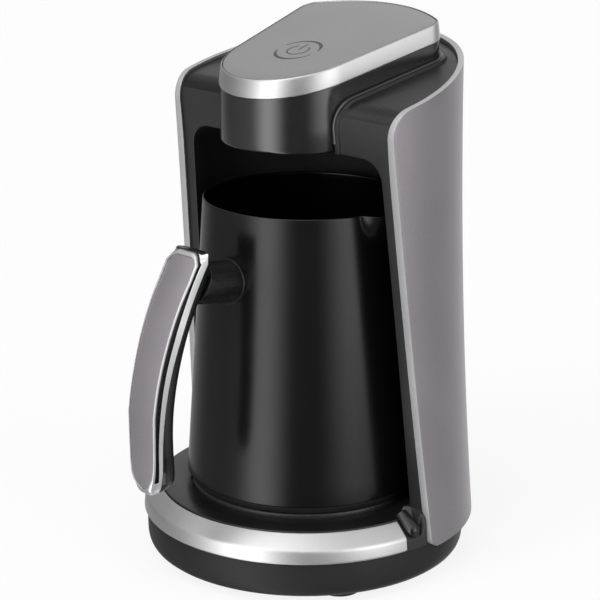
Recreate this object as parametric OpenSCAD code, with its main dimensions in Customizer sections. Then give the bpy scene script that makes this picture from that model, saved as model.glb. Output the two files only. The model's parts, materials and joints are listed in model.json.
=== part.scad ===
// Electric coffee maker for one long-handled pot: a round base with a heating
// plate, a column wrapped in a grey panel, and a head that reaches over the pot.
// Millimetres, +Z up, the front towards -Y, the pot's spout towards +X.

/* [Pot] */
// Outer radius of the pot at the seam above its base
pot_low_r = 47.7; // [44:0.1:49]
// How much narrower the pot is at its rim
pot_taper = 7.5; // [5:0.1:9]
// Height of the pot's wall from the seam to the rim
pot_wall_h = 112.8; // [104:0.1:116]
// Thickness of the pot's steel wall
pot_wall = 1.1; // [0.8:0.1:1.6]
// Thickness of the sandwich base under the pot
pot_base_h = 2.8; // [2:0.1:4]
// How far the spout's lip stands out past the rim
spout_reach = 7.5; // [5:0.1:8.5]
// Radius of the spout's channel
spout_r = 10; // [8:0.1:11]
// Lean of the spout's channel, in degrees
spout_lean = 28; // [20:1:34]

/* [Handle] */
// How far the handle's front face stands out past the pot's seam
handle_stand = 39.8; // [36:0.1:44]
// Radius of the handle's curved front face
handle_bow_r = 119.9; // [110:0.1:130]
// How much shorter the handle is than the pot's wall
handle_short = 19.7; // [16:0.1:24]
// Height of the handle's lower end above the pot's seam
handle_low_up = 8.2; // [5:0.1:12]
// Height of the handle's most forward point above its lower end
handle_bow_up = 21.3; // [16:0.1:26]
// Width of the handle
handle_w = 16; // [14:0.1:20]
// Depth of the handle from front face to back
handle_d = 10.5; // [9.5:0.1:13]
// Depth of the bright trim on the handle's side
handle_trim_d = 6.4; // [5.5:0.1:7]
// Width of the dark groove that divides the trim
handle_groove = 1.2; // [0.8:0.1:1.6]
// How far the middle of the neck lies below the handle's top
neck_drop = 15.1; // [12:0.1:20]
// Radius of the neck where it meets the pot
neck_r = 8.3; // [7:0.1:9]
// Upward slope of the neck, in degrees
neck_rise = 8; // [0:1:12]

/* [Base] */
// How far the black base stands out past the pot's seam
base_margin = 16.6; // [15:0.1:18]
// Height of the rubber feet under the base
foot_h = 3; // [2:0.1:5]
// Radius of a rubber foot
foot_r = 7; // [5:0.1:8]
// Distance from the base's edge in to the middle of a foot
foot_inset = 21.3; // [19:0.1:24]
// Height of the black base above its feet's underside, up to the joint
base_h = 14.3; // [13.5:0.1:15.5]
// Rounding of the base's lower edge
base_round = 8; // [4:0.1:10]
// Wall thickness of the plastic shells
shell_wall = 2.2; // [1.6:0.1:2.6]
// Height of the bright ring and the deck above the joint
ring_h = 11; // [10:0.1:12.5]
// Distance from the base's edge in to the deck's edge
deck_inset = 5.9; // [5:0.1:7]
// How far the bright ring stands out past the base
ring_proud = 1.3; // [0.8:0.1:2]
// Height of the bright ring's upright side
ring_side_h = 5; // [3:0.1:6.5]
// Sheet thickness of the bright ring
ring_t = 1.5; // [1:0.1:2]
// Half of the bright ring's sweep round the front, in degrees
ring_half_sweep = 80; // [60:1:80]
// How much smaller the heating plate's radius is than the pot's
plate_inset = 1.9; // [1:0.1:4]
// How far the heating plate stands above the deck
plate_rise = 1.9; // [1:0.1:3]
// Radius of the cord's hole in its gland
cord_bore_r = 3.6; // [2.5:0.1:3.8]

/* [Column] */
// How far the wrap panel's lower edge stands out past the base
panel_proud = 3.7; // [3.2:0.1:5]
// How far the panel pulls in from its lower edge to its waist
panel_waist = 7.4; // [6:0.1:8]
// Height of the panel's waist above the top plate, at the axis
waist_up = 0.6; // [-6:0.1:6]
// How far the panel's lower edge hangs below the base's joint
panel_drop = 0.8; // [0.4:0.1:1.2]
// Thickness of the wrap panel
panel_t = 3.4; // [2.4:0.1:3.6]
// Place of the column's leaning front face, at table level, behind the axis
face_y = 2.5; // [0:0.1:5]
// Forward lean of the front face, per unit of height
face_lean = 0.096; // [0.05:0.001:0.12]
// Rounding of the shoulder between the front face and the deck
shoulder_r = 10.6; // [7:0.1:14]
// Height of the panel's top edge above the bay's ceiling, at the axis
panel_over_bay = 21.9; // [18:0.1:25]
// Room between the pot and the wall of its bay, at the deck
bay_room = 9.1; // [8.2:0.1:9.5]
// How much narrower the bay is at its ceiling
bay_taper = 4.6; // [4:0.1:6]
// Height of the bay's ceiling above the pot's rim
bay_over_pot = 22.9; // [19:0.1:26]
// Rounding between the bay's wall and its ceiling
arch_round = 8.5; // [5:0.1:12]

/* [Head] */
// Rise of the top plate and the deck towards the back, per unit of depth
top_slope = 0.24; // [0.15:0.01:0.28]
// Height of the top plate above the bay's ceiling, at the axis
head_h = 35.4; // [33:0.1:38]
// Distance from the panel's waist in to the top plate's rear corners, across
rear_inset = 25.9; // [25:0.1:28]
// Distance from the panel's waist in to the middle of the top plate's rear edge
rear_gap = 13.1; // [12:0.1:15]
// How far the middle of the rear edge stands out past the rear corners
rear_bow = 13.5; // [12:0.1:16]
// Rounding of the top plate's rear corners
rear_corner_r = 6; // [4:0.1:8]
// How much narrower the round nose is than the rear, on each side
nose_less = 6.7; // [5:0.1:9]
// Place of the nose's centre in front of the axis
nose_y = 5.2; // [3:0.1:8]
// Thickness of the top plate
top_plate_t = 2; // [1.5:0.1:2.5]
// Height of the bright band round the top plate
band_h = 6.8; // [5:0.1:9]
// How far the band's foot stands out past the top plate
band_flare = 1.6; // [1.3:0.1:2.2]
// Radius of the round power button
button_r = 10; // [8:0.1:11]
// Place of the button's centre in front of the axis
button_y = 4; // [0:0.1:8]
// Travel of the power button
button_travel = 0.8; // [0.4:0.1:1]
// Radius of the sensor's window in the head's underside
window_r = 5; // [4:0.1:6]

/* [Hidden] */
$fn = 96;

seat_gap = 0.1;                  // between pieces that are screwed or glued together
rest_gap = 0.3;                  // between the pot and what it stands on
steps = 12;                      // straight pieces of a curved wall

pot_rim_r = pot_low_r - pot_taper;
base_r = pot_low_r + base_margin;
deck_r = base_r - deck_inset;
ring_r = base_r + ring_proud;
plate_r = pot_low_r - plate_inset;
wrap_foot_r = base_r + panel_proud;
waist_r = wrap_foot_r - panel_waist;
bay_low_r = pot_low_r + bay_room;
bay_top_r = bay_low_r - bay_taper;
handle_reach = pot_low_r + handle_stand;
rear_half_w = waist_r - rear_inset;
rear_mid_y = waist_r - rear_gap;
rear_corner_y = rear_mid_y - rear_bow;
nose_r = rear_half_w - nose_less;

joint_z = foot_h + base_h;       // between the base and what stands on it
deck_z = joint_z + ring_h;
plate_z = deck_z + plate_rise;   // top of the heating plate
pot_z = plate_z + rest_gap;      // underside of the pot
seam_z = pot_z + pot_base_h;     // where the pot's wall starts
rim_z = seam_z + pot_wall_h;
arch_z = rim_z + bay_over_pot;   // ceiling of the bay and underside of the head
panel_top_z = arch_z + panel_over_bay;
plate_top_z = arch_z + head_h;
waist_z = plate_top_z + waist_up;
wrap_low_z = joint_z - panel_drop;
handle_low_z = seam_z + handle_low_up;
handle_top_z = handle_low_z + pot_wall_h - handle_short;
neck_z = handle_top_z - neck_drop;
handle_bow_z = handle_low_z + handle_bow_up;
far = 1.5 * wrap_foot_r;         // reach of the cutting blocks, past every wall
frame_gap = 0.2;                 // between the panel and the frame behind it
axis_y = (handle_reach - wrap_foot_r) / 2;   // the machine's axis lies behind the origin
tilt = atan(top_slope);
head_grow = band_flare - 0.4;    // the head's wall past the top plate
collar_gap = 1.2;                // dark joint between the head and the frame
collar_w = 2;                    // raised lip of the frame round the head
collar_rise = 1.1;

// Outer radius of the wrap panel at height z: a slim parabola with its waist near the top.
function wrap_r(z) =
    waist_r + (wrap_foot_r - waist_r) * pow((waist_z - z) / (waist_z - wrap_low_z), 2);
function bay_r(z) = bay_low_r + (bay_top_r - bay_low_r) * (z - deck_z) / (arch_z - deck_z);
function pot_r(z) = pot_low_r + (pot_rim_r - pot_low_r) * (z - seam_z) / pot_wall_h;
function top_z(y, z0) = z0 + top_slope * y;
function unit(v) = v / norm(v);
// Points of an arc round c from angle a to angle b, in n pieces.
function arc(c, r, a, b, n) = [for (i = [0:n])
    let (t = a + (b - a) * i / n) [c[0] + r * cos(t), c[1] + r * sin(t)]];
function span(low, high, n) = [for (i = [0:n]) low + (high - low) * i / n];

// Everything is drawn round the machine's axis and then set back on the origin.
module place() translate([0, axis_y, 0]) children();

// A side view, drawn as [y, z], made as wide as the whole machine.
module side(points) rotate([90, 0, 90]) linear_extrude(2 * far, center = true) polygon(points);

// All that lies under the sloping plane that crosses the axis at height z0.
module under(z0, low = 0)
    side([[-far, low], [far, low], [far, top_z(far, z0)], [-far, top_z(-far, z0)]]);

// A slab between two sloping planes.
module slab(z0, z1) side([[-far, top_z(-far, z0)], [far, top_z(far, z0)],
    [far, top_z(far, z1)], [-far, top_z(-far, z1)]]);

// A wall turned round the axis, between the radii outer(z) and outer(z) - t.
module turned_wall(gap, t, low, high) {
    heights = span(low, high, steps);
    rotate_extrude() polygon(concat(
        [for (z = heights) [wrap_r(z) - gap, z]],
        [for (i = [steps:-1:0]) [wrap_r(heights[i]) - gap - t, heights[i]]]));
}

// The column's side view: a leaning face, a round shoulder and the sloping top.
module column_side(inset, low) {
    corner_y = (face_y + inset - face_lean * (panel_top_z - inset)) / (1 + face_lean * top_slope);
    corner = [corner_y, top_z(corner_y, panel_top_z - inset)];
    down = unit([face_lean, -1]);
    back = unit([1, top_slope]);
    half = acos(down * back) / 2;
    r = shoulder_r - inset;
    c = corner + unit(down + back) * r / sin(half);
    a = corner + down * r / tan(half) - c;
    b = corner + back * r / tan(half) - c;
    side(concat([[far, low], [face_y + inset - face_lean * low, low]],
        arc(c, r, atan2(a[1], a[0]) + 360, atan2(b[1], b[0]), 8),
        [[far, top_z(far, panel_top_z - inset)]]));
}

// Plan of the head: a round nose, sides that open backwards, round rear corners, a bowed rear.
module head_plan(grow) {
    corner_x = rear_half_w - rear_corner_r;
    reach = norm([corner_x, rear_corner_y + nose_y]);
    flank = atan2(rear_corner_y + nose_y, corner_x) - acos((nose_r - rear_corner_r) / reach);
    sag = rear_mid_y - rear_corner_y;
    rear_r = (pow(corner_x, 2) + pow(sag, 2) - pow(rear_corner_r, 2)) / (2 * (sag - rear_corner_r));
    rear_c = rear_mid_y - rear_r;
    turn = atan2(rear_corner_y - rear_c, corner_x);
    polygon(concat(
        arc([0, -nose_y], nose_r + grow, -180 - flank, flank, 30),
        arc([corner_x, rear_corner_y], rear_corner_r + grow, flank, turn, 5),
        arc([0, rear_c], rear_r + grow, turn, 180 - turn, 10),
        arc([-corner_x, rear_corner_y], rear_corner_r + grow, 180 - turn, 180 - flank, 5)));
}
module head_block(grow, low, high) translate([0, 0, low]) linear_extrude(high - low) head_plan(grow);

// A place on the top plate, with +Z square to it.
module on_top(y) translate([0, y, top_z(y, plate_top_z)]) rotate([tilt, 0, 0]) children();

// The space of the pot's bay, with round edges between its wall and its ceiling.
module bay_space(grow) {
    wall_lean = atan2(bay_low_r - bay_top_r, arch_z - deck_z);
    r = arch_round + grow;
    cz = arch_z - arch_round;
    cr = bay_r(cz) - arch_round / cos(wall_lean);
    rotate_extrude() polygon(concat(
        [[0, deck_z + seat_gap], [bay_low_r + grow, deck_z + seat_gap]],
        arc([cr, cz], r, wall_lean, 90, 6),
        [[0, arch_z + grow]]));
}

// Radius, place and slope of the handle's bow, seen from the side.
bow_start = 176 - asin((handle_top_z - handle_bow_z) / (handle_bow_r - handle_d));
bow_end = 188 + asin((handle_bow_z - handle_low_z) / (handle_bow_r - handle_d));
function handle_y(depth, z) = handle_bow_r - handle_reach
    - sqrt(pow(handle_bow_r - depth, 2) - pow(z - handle_bow_z, 2));

// A section turned round the centre of the handle's bow. It is drawn as [radius, x].
module bowed(points)
    translate([0, handle_bow_r - handle_reach, handle_bow_z]) rotate([90, 0, 90])
        rotate([0, 0, bow_start]) rotate_extrude(angle = bow_end - bow_start) polygon(points);

// The same section on both sides of the middle, from [depth, half width] pairs.
function both_sides(pairs) = concat(
    [for (p = pairs) [handle_bow_r - p[0], p[1]]],
    [for (i = [len(pairs) - 1:-1:0]) [handle_bow_r - pairs[i][0], -pairs[i][1]]]);

// Front view of a rounded bar, cut straight back through the handle.
module front_bar(half_w, low, top, low_r, top_r)
    rotate([90, 0, 0]) linear_extrude(far) polygon(concat(
        arc([half_w - low_r, low + low_r], low_r, -90, 0, 6),
        arc([half_w - top_r, top - top_r], top_r, 0, 90, 3),
        arc([top_r - half_w, top - top_r], top_r, 90, 180, 3),
        arc([low_r - half_w, low + low_r], low_r, 180, 270, 6)));

// Side view of the handle's ends: a level top and a rounded lower front corner.
module handle_ends(low, round_r) {
    front = -handle_reach - 1;
    side(concat([[0, handle_top_z], [front, handle_top_z]],
        arc([front + round_r + 1, low + round_r], round_r + 1, 180, 250, 6),
        [[0, low - 1]]));
}

// A frame on the neck's axis: +Z runs out from the pot to the handle.
module on_neck() translate([0, -pot_r(neck_z), neck_z]) rotate([90 - neck_rise, 0, 0]) children();
neck_end_z = neck_z + (handle_reach - handle_d - pot_r(neck_z)) * sin(neck_rise) / 2;
neck_len = (-handle_y(handle_d, neck_end_z) - pot_r(neck_z)) / cos(neck_rise);
head_seat = 1.6;                 // plastic under the head of the handle's screw
handle_screw_head_r = 2.7;

// The pot's outside as a solid, grown by a gap.
module pot_cone(grow) translate([0, 0, seam_z])
    cylinder(h = pot_wall_h, r1 = pot_low_r + grow, r2 = pot_rim_r + grow);

// The same thing at each angle to both sides of the front, at a distance from the axis.
module around(angles, r) for (a = angles, s = [-1, 1]) rotate([0, 0, s * a]) translate([0, -r, 0])
    children();

foot_angles = [60, 130];         // from the front, to both sides
screw_angles = [30, 95];
column_screw_angles = [112, 160];
foot_place_r = base_r - foot_inset;
floor_in_r = base_r - 15.3;      // hole in the base's floor, round the heater
cover_screw_r = floor_in_r + 3.2;
screw_r = 1.4;
screw_head_r = 2.7;
screw_head_t = 1;
boss_r = 2.4;
clear_r = 0.2;                   // round a screw, in the piece that it holds
screw_z = foot_h + 0.3;
screw_len = 9;
thread_r = 0.9;                  // of the finer screws that hold the column
thread_head_r = 1.4;
column_boss_r = 1.9;
column_screw_r = deck_r + column_boss_r + 0.3;
rib_h = 2;
rib_t = 2;
deck_t = 2;
deck_clear = 0.3;                // between the deck and the heating plate or the ring
tray_r = plate_r + 1.7;
tray_flange_w = 3;
tray_flange_z = deck_z - deck_t - seat_gap;
plate_foot_z = tray_flange_z + rest_gap;
plate_foot_t = 1.9;              // thickness of the plate under its rim
plate_low_z = plate_foot_z - plate_foot_t;
tray_t = 1.2;
tray_hole_r = 9;
tray_z = foot_h + 0.77 * base_h;
element_r = 0.7 * plate_r;
element_tube_r = 2.3;
element_z = plate_low_z - element_tube_r - 0.05;
terminal_r = 1.4;
terminal_drop = 2;               // how far the terminals reach below the tray
terminal_angles = [-54, 234];
thermostat_r = 8;
thermostat_h = 6;
tab_w = 6;
tab_t = 0.8;
fuse_r = 1.7;
fuse_len = 14;
fuse_y = 17;
gland_r = cord_bore_r + 1;
gland_flange_w = 1.2;
gland_z = foot_h + 7.3;
gland_in_y = floor_in_r + 3;
gland_out_y = base_r + 2.2;
vent_w = 3;
vent_len = 18;
vent_step = 7;
foot_plug_r = 2;                 // of the rubber plug that holds a foot

module base_shell() color("#262628") difference() {
    union() {
        rotate_extrude() polygon(concat(
            [[base_r - base_round, foot_h]],
            arc([base_r - base_round, foot_h + base_round], base_round, -90, 0, 8),
            [[base_r, joint_z], [floor_in_r, joint_z], [floor_in_r, joint_z - shell_wall],
                [base_r - shell_wall, joint_z - shell_wall]],
            arc([base_r - base_round, foot_h + base_round], base_round - shell_wall, 0, -90, 8)));
        around(screw_angles, cover_screw_r) translate([0, 0, foot_h + shell_wall + seat_gap])
            cylinder(h = joint_z - foot_h - 1.5 * shell_wall, r = boss_r + 0.4);
    }
    around(screw_angles, cover_screw_r) cylinder(h = joint_z - shell_wall, r = screw_r + clear_r / 2);
    around(column_screw_angles, column_screw_r) translate([0, 0, joint_z - 2 * shell_wall])
        cylinder(h = 3 * shell_wall, r = thread_r + clear_r);
    translate([0, gland_in_y, gland_z]) rotate([-90, 0, 0])
        cylinder(h = base_r, r = gland_r + seat_gap);
}

module bottom_cover() color("#2a2a2c") difference() {
    union() {
        translate([0, 0, foot_h + clear_r])
            cylinder(h = shell_wall - clear_r, r = base_r - base_round - clear_r);
        translate([0, 0, foot_h + shell_wall]) difference() {
            cylinder(h = rib_h, r = cover_screw_r - boss_r - rib_t);
            translate([0, 0, -1]) cylinder(h = rib_h + 2, r = cover_screw_r - boss_r - 2 * rib_t);
        }
    }
    around(screw_angles, cover_screw_r) {
        cylinder(h = far, r = screw_r + clear_r);
        cylinder(h = screw_z + screw_head_t + 0.1, r = screw_head_r + clear_r);
    }
    around(foot_angles, foot_place_r) cylinder(h = far, r = foot_plug_r + 0.1);
    for (i = [-3:3], s = [-1, 1]) translate([i * vent_step - vent_w / 2, s * 0.95 * vent_len
        - vent_len / 2, 0]) cube([vent_w, vent_len, far]);
}

module rubber_feet() color("#161616") around(foot_angles, foot_place_r) {
    cylinder(h = foot_h + 0.1, r1 = foot_r - 0.8, r2 = foot_r);
    cylinder(h = foot_h + shell_wall + 0.6, r = foot_plug_r);
}

module base_screws() color("#b9bbbd") around(screw_angles, cover_screw_r) translate([0, 0, screw_z]) {
    cylinder(h = screw_head_t, r = screw_head_r);
    cylinder(h = screw_len, r = screw_r);
}

module base_trim_ring() color("#d8dadb") {
    foot_z = joint_z + 0.6;
    edge_z = foot_z + ring_side_h;
    in_r = deck_r + deck_clear;
    rotate([0, 0, 270 - ring_half_sweep]) rotate_extrude(angle = 2 * ring_half_sweep) polygon([
        [ring_r, foot_z], [ring_r - 0.5, edge_z], [in_r, deck_z], [in_r, deck_z - 1.3 * ring_t],
        [ring_r - 0.7 - ring_t, edge_z - 0.5 * ring_t], [ring_r - 0.4 - ring_t, joint_z + seat_gap],
        [ring_r - 0.9, joint_z + seat_gap], [ring_r - 0.9, foot_z]]);
}

module base_deck() color("#1d1d1f") rotate_extrude() polygon([
    [plate_r + deck_clear, deck_z - deck_t], [deck_r - deck_t, deck_z - deck_t],
    [deck_r - deck_t, joint_z + seat_gap], [deck_r, joint_z + seat_gap], [deck_r, deck_z],
    [plate_r + deck_clear, deck_z]]);

module heating_plate() color("#3c3d40") rotate_extrude() polygon([
    [0, plate_low_z], [plate_r - 2.4, plate_low_z], [plate_r - 2.4, plate_foot_z],
    [plate_r, plate_foot_z], [plate_r, plate_z - 0.6], [plate_r - 0.6, plate_z], [0, plate_z]]);

module heating_element() color("#8e9092") {
    translate([0, 0, element_z]) rotate([0, 0, -60]) rotate_extrude(angle = 300)
        translate([element_r, 0]) circle(r = element_tube_r, $fn = 24);
    for (a = terminal_angles) rotate([0, 0, a]) translate([element_r, 0, tray_z - terminal_drop])
        cylinder(h = element_z - tray_z + terminal_drop, r = terminal_r);
}

module heater_tray() color("#9fa1a3") difference() {
    rotate_extrude() polygon([
        [tray_r + tray_flange_w, tray_flange_z - tray_t], [tray_r + tray_flange_w, tray_flange_z],
        [plate_r - 2, tray_flange_z], [plate_r - 2, tray_flange_z - tray_t],
        [tray_r - tray_t, tray_flange_z - tray_t], [tray_r - tray_t, tray_z + tray_t],
        [tray_hole_r, tray_z + tray_t], [tray_hole_r, tray_z], [tray_r, tray_z],
        [tray_r, tray_flange_z - tray_t]]);
    for (a = terminal_angles) rotate([0, 0, a]) translate([element_r, 0, tray_z - 1])
        cylinder(h = tray_t + 2, r = terminal_r + tray_t);
}

module thermostat() color("#d6d2c4") {
    translate([0, 0, plate_low_z - seat_gap - thermostat_h]) cylinder(h = thermostat_h, r = thermostat_r);
    for (x = [-5, 5]) translate([x - tab_t / 2, -tab_w / 2, tray_z - 3])
        cube([tab_t, tab_w, plate_low_z - tray_z + 3 - thermostat_h]);
}

module thermal_fuse() color("#c9a227") {
    z = plate_low_z - fuse_r - seat_gap;
    translate([-fuse_len / 2, fuse_y, z]) rotate([0, 90, 0]) cylinder(h = fuse_len, r = fuse_r);
    for (x = [-0.5, 0.5]) translate([x * fuse_len - 0.5, fuse_y - 0.5, tray_z + tray_t + clear_r])
        cube([1, 1, z - tray_z - tray_t]);
}

module cord_gland() color("#202022") translate([0, 0, gland_z]) rotate([-90, 0, 0]) difference() {
    union() {
        translate([0, 0, gland_in_y]) cylinder(h = gland_out_y - gland_in_y, r = gland_r);
        translate([0, 0, base_r + clear_r])
            cylinder(h = gland_out_y - base_r - clear_r, r = gland_r + gland_flange_w);
    }
    translate([0, 0, gland_in_y - 1]) cylinder(h = gland_out_y - gland_in_y + 2, r = cord_bore_r);
}

// A solid turned to the inside of the panel.
module column_core(gap, low) {
    heights = span(low, waist_z + 3, steps);
    rotate_extrude() polygon(concat([[0, low]], [for (z = heights) [wrap_r(z) - gap, z]],
        [[0, waist_z + 3]]));
}

frame_low_z = joint_z + seat_gap;
frame_inset = 1;                 // the frame lies this much inside the panel's edge
toe_y = 0.3 - deck_r * cos(ring_half_sweep);
toe_back_y = face_y - face_lean * deck_z + frame_inset + shell_wall - seat_gap;
toe_z = deck_z + 2.4;
toe_round = 7;
toe_edge = 3;                    // rounding of the toe's outer edge

// The rounded black block that ends the bright ring, at each side of the column's foot.
module toe() difference() {
    intersection() {
        rotate_extrude() polygon(concat(
            [[deck_r + deck_clear, frame_low_z], [ring_r - frame_gap, frame_low_z]],
            arc([ring_r - frame_gap - toe_edge, toe_z - toe_edge], toe_edge, 0, 90, 4),
            [[bay_low_r - 2.4, toe_z], [bay_low_r - 2.4, deck_z + seat_gap],
                [deck_r + deck_clear, deck_z + seat_gap]]));
        side(concat([[toe_back_y, frame_low_z - 1], [toe_y, frame_low_z - 1]],
            arc([toe_y + toe_round, toe_z - toe_round], toe_round, 180, 90, 6),
            [[toe_back_y, toe_z]]));
    }
    difference() {
        column_side(-frame_gap, 0);
        column_core(panel_t + 2 * frame_gap, frame_low_z - 1);
    }
}

module column_frame() color("#2b2b2d") {
    difference() {
        intersection() {
            column_core(panel_t + frame_gap, frame_low_z);
            column_side(frame_inset, 0);
        }
        intersection() {
            column_core(panel_t + frame_gap + shell_wall, frame_low_z - 1);
            column_side(frame_inset + shell_wall, 0);
        }
        bay_space(0);
        translate([0, 0, joint_z])
            cylinder(h = deck_z + seat_gap - joint_z, r = deck_r + frame_gap);
        head_block(head_grow + collar_gap, arch_z - arch_round, far * 3);
    }
    intersection() {
        difference() {
            head_block(head_grow + collar_gap + collar_w, arch_z, far * 3);
            head_block(head_grow + collar_gap, arch_z - 1, far * 3 + 1);
            column_side(frame_inset + shell_wall, 0);
        }
        column_side(frame_inset - collar_rise, 0);
        column_core(panel_t + frame_gap + 0.5, frame_low_z);
    }
    toe();
    difference() {
        around(column_screw_angles, column_screw_r) translate([0, 0, frame_low_z])
            cylinder(h = 0.75 * ring_h, r = column_boss_r);
        around(column_screw_angles, column_screw_r) translate([0, 0, frame_low_z - 1])
            cylinder(h = 0.75 * ring_h, r = thread_r + clear_r / 2);
    }
}

module bay_liner() color("#141415") difference() {
    intersection() {
        bay_space(shell_wall - 0.2);
        column_side(frame_inset + shell_wall + seat_gap, 0);
    }
    bay_space(0);
    head_block(head_grow + 0.2, arch_z - 0.1, far * 3);
}

module wrap_panel() color("#8a8489") intersection() {
    turned_wall(0, panel_t, wrap_low_z, waist_z + 3);
    column_side(0, 0);
}

module column_screws() color("#b9bbbd") around(column_screw_angles, column_screw_r)
    translate([0, 0, joint_z - shell_wall - seat_gap - screw_head_t]) {
        cylinder(h = screw_head_t, r = thread_head_r);
        cylinder(h = screw_len, r = thread_r);
    }

band_z = plate_top_z - band_h;   // foot of the bright band, at the axis
module head_housing() color("#101011") difference() {
    intersection() {
        head_block(head_grow, arch_z, far * 3);
        under(band_z - seat_gap);
    }
    head_block(head_grow - shell_wall, arch_z - 1, far * 3 + 1);
}

inner_grow = head_grow - shell_wall - 0.15;
board_t = 1.6;
board_grow = inner_grow - 0.15;
board_z = arch_z + 8;
vent_y = 8;
slot_w = 2;
slot_len = 24;
relay = [15, 19, 9];             // sizes of the parts on the power board
transformer = [15, 15, 11];
capacitor_r = 4;
window_rim = 1.5;
module head_underside() color("#161617") difference() {
    head_block(inner_grow, arch_z, arch_z + shell_wall);
    translate([0, -nose_y, arch_z - 1]) cylinder(h = shell_wall + 2, r = window_r + 0.1);
    for (i = [0:4]) translate([-slot_len / 2, vent_y + i * 3 * slot_w, arch_z - 1])
        cube([slot_len, slot_w, shell_wall + 2]);
}

module sensor_window() color([0.25, 0.05, 0.06, 0.7]) translate([0, -nose_y, arch_z]) {
    cylinder(h = shell_wall + 0.2, r = window_r);
    translate([0, 0, shell_wall + 0.1]) cylinder(h = 1, r = window_r + window_rim);
}

module foam_sensor() color("#1f3a2a") translate([0, -nose_y, arch_z + shell_wall + 1.2])
    cylinder(h = board_z - arch_z - shell_wall - 1.3, r = window_r - 0.6);

module power_board() color("#1d5a34") {
    head_block(board_grow, board_z, board_z + board_t);
    color("#1c2630") translate([4, 12, board_z + board_t]) cube(relay);
    color("#c8a23a") translate([-4 - transformer[0], 14, board_z + board_t]) cube(transformer);
    color("#20242c") translate([2, 2, board_z + board_t]) cylinder(h = relay[2], r = capacitor_r);
}

// The bright band leans a little outwards from the top plate down to the head's wall.
module head_trim_ring() color("#dcdddd") difference() {
    hull() {
        intersection() {
            head_block(band_flare, 0, far * 3);
            slab(band_z, band_z + 0.4);
        }
        intersection() {
            head_block(0.8, 0, far * 3);
            slab(plate_top_z - 0.2, plate_top_z + 0.2);
        }
    }
    intersection() {
        head_block(0.1, 0, far * 3);
        slab(plate_top_z - top_plate_t - seat_gap, plate_top_z + 5);
    }
    head_block(head_grow - shell_wall - 1, 0, far * 3);
}

module top_plate() color("#a3a4a5") difference() {
    intersection() {
        head_block(0, 0, far * 3);
        slab(plate_top_z - top_plate_t, plate_top_z);
    }
    on_top(-button_y) translate([0, 0, -5]) cylinder(h = 10, r = button_r + 0.15);
}

board_drop = 10;                 // depth of the control board under the top plate
stem_low = -6.5;
flange_t = 1;
stem_r = 2.4;
switch_h = 2.5;
switch_w = 6;
plunger_r = 1.65;
plunger_h = 2.2;
buzzer_r = 5.5;
buzzer_h = 6;
module control_board() color("#1d5a34") intersection() {
    head_block(board_grow, 0, far * 3);
    slab(plate_top_z - (board_drop + board_t) / cos(tilt), plate_top_z - board_drop / cos(tilt));
}

module button_switch() color("#3a3b3d") on_top(-button_y)
    translate([0, 0, seat_gap - board_drop]) difference() {
        translate([-switch_w / 2, -switch_w / 2, 0]) cube([switch_w, switch_w, switch_h]);
        translate([0, 0, -1]) cylinder(h = switch_h + 2, r = plunger_r + 0.1);
    }

module buzzer() color("#1a1a1b") on_top(vent_y)
    translate([-13, 0, -board_drop - board_t - buzzer_h - seat_gap]) cylinder(h = buzzer_h, r = buzzer_r);

module power_button() color("#a3a4a5") on_top(-button_y) {
    translate([0, 0, -top_plate_t]) cylinder(h = top_plate_t, r = button_r);
    translate([0, 0, -top_plate_t / cos(tilt) - 0.3 - flange_t])
        cylinder(h = flange_t, r = button_r + 1.2);
    translate([0, 0, stem_low]) cylinder(h = -stem_low - 0.85 * top_plate_t, r = stem_r);
}

module switch_plunger() color("#d0d0d0") on_top(-button_y)
    translate([0, 0, stem_low - seat_gap - plunger_h]) cylinder(h = plunger_h, r = plunger_r);

// The spout's channel: a round bar that leans out over the rim.
spout_top = [pot_rim_r + spout_reach - spout_r / cos(spout_lean), 0, rim_z];
module spout_bar(r) translate(spout_top) rotate([0, spout_lean, 0]) translate([0, 0, -far / 2])
    cylinder(h = far, r = r);

module pot_shell() color("#1b1b1c") {
    difference() {
        union() {
            pot_cone(0);
            intersection() {
                spout_bar(spout_r);
                translate([0, -far / 2, seam_z + pot_wall_h / 2]) cube([far, far, pot_wall_h / 2]);
            }
        }
        rotate_extrude() polygon([[0, seam_z + pot_wall], [pot_low_r - pot_wall, seam_z + pot_wall],
            [pot_rim_r - pot_wall, rim_z], [pot_rim_r - pot_wall, rim_z + 5], [0, rim_z + 5]]);
        intersection() {
            spout_bar(spout_r - pot_wall);
            translate([0, -far / 2, seam_z + 2 * pot_wall]) cube([far, far, pot_wall_h]);
        }
    }
}

module pot_base() color("#2a2a2b") translate([0, 0, pot_z]) {
    cylinder(h = pot_base_h - seat_gap / 2, r1 = pot_low_r - 1.6, r2 = pot_low_r - 0.9);
}

stud_r = 3.2;
stud_bore_r = 1.9;
stud_len = 10;
washer_t = 1.2;
module handle_stud() color("#b9bbbd") difference() {
    on_neck() translate([0, 0, -1]) cylinder(h = stud_len + 1, r = stud_r);
    pot_cone(0.05);
    on_neck() translate([0, 0, 2]) cylinder(h = 2 * stud_len, r = stud_bore_r);
}

module handle_washer() color("#3b3b3d") difference() {
    on_neck() translate([0, 0, -1]) cylinder(h = washer_t + 3, r = neck_r + 0.7);
    pot_cone(0.05);
    difference() {
        on_neck() translate([0, 0, -stud_len]) cylinder(h = 3 * stud_len, r = neck_r + 3);
        pot_cone(washer_t);
    }
    on_neck() translate([0, 0, -stud_len]) cylinder(h = 2 * stud_len, r = stud_r + clear_r);
}

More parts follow.
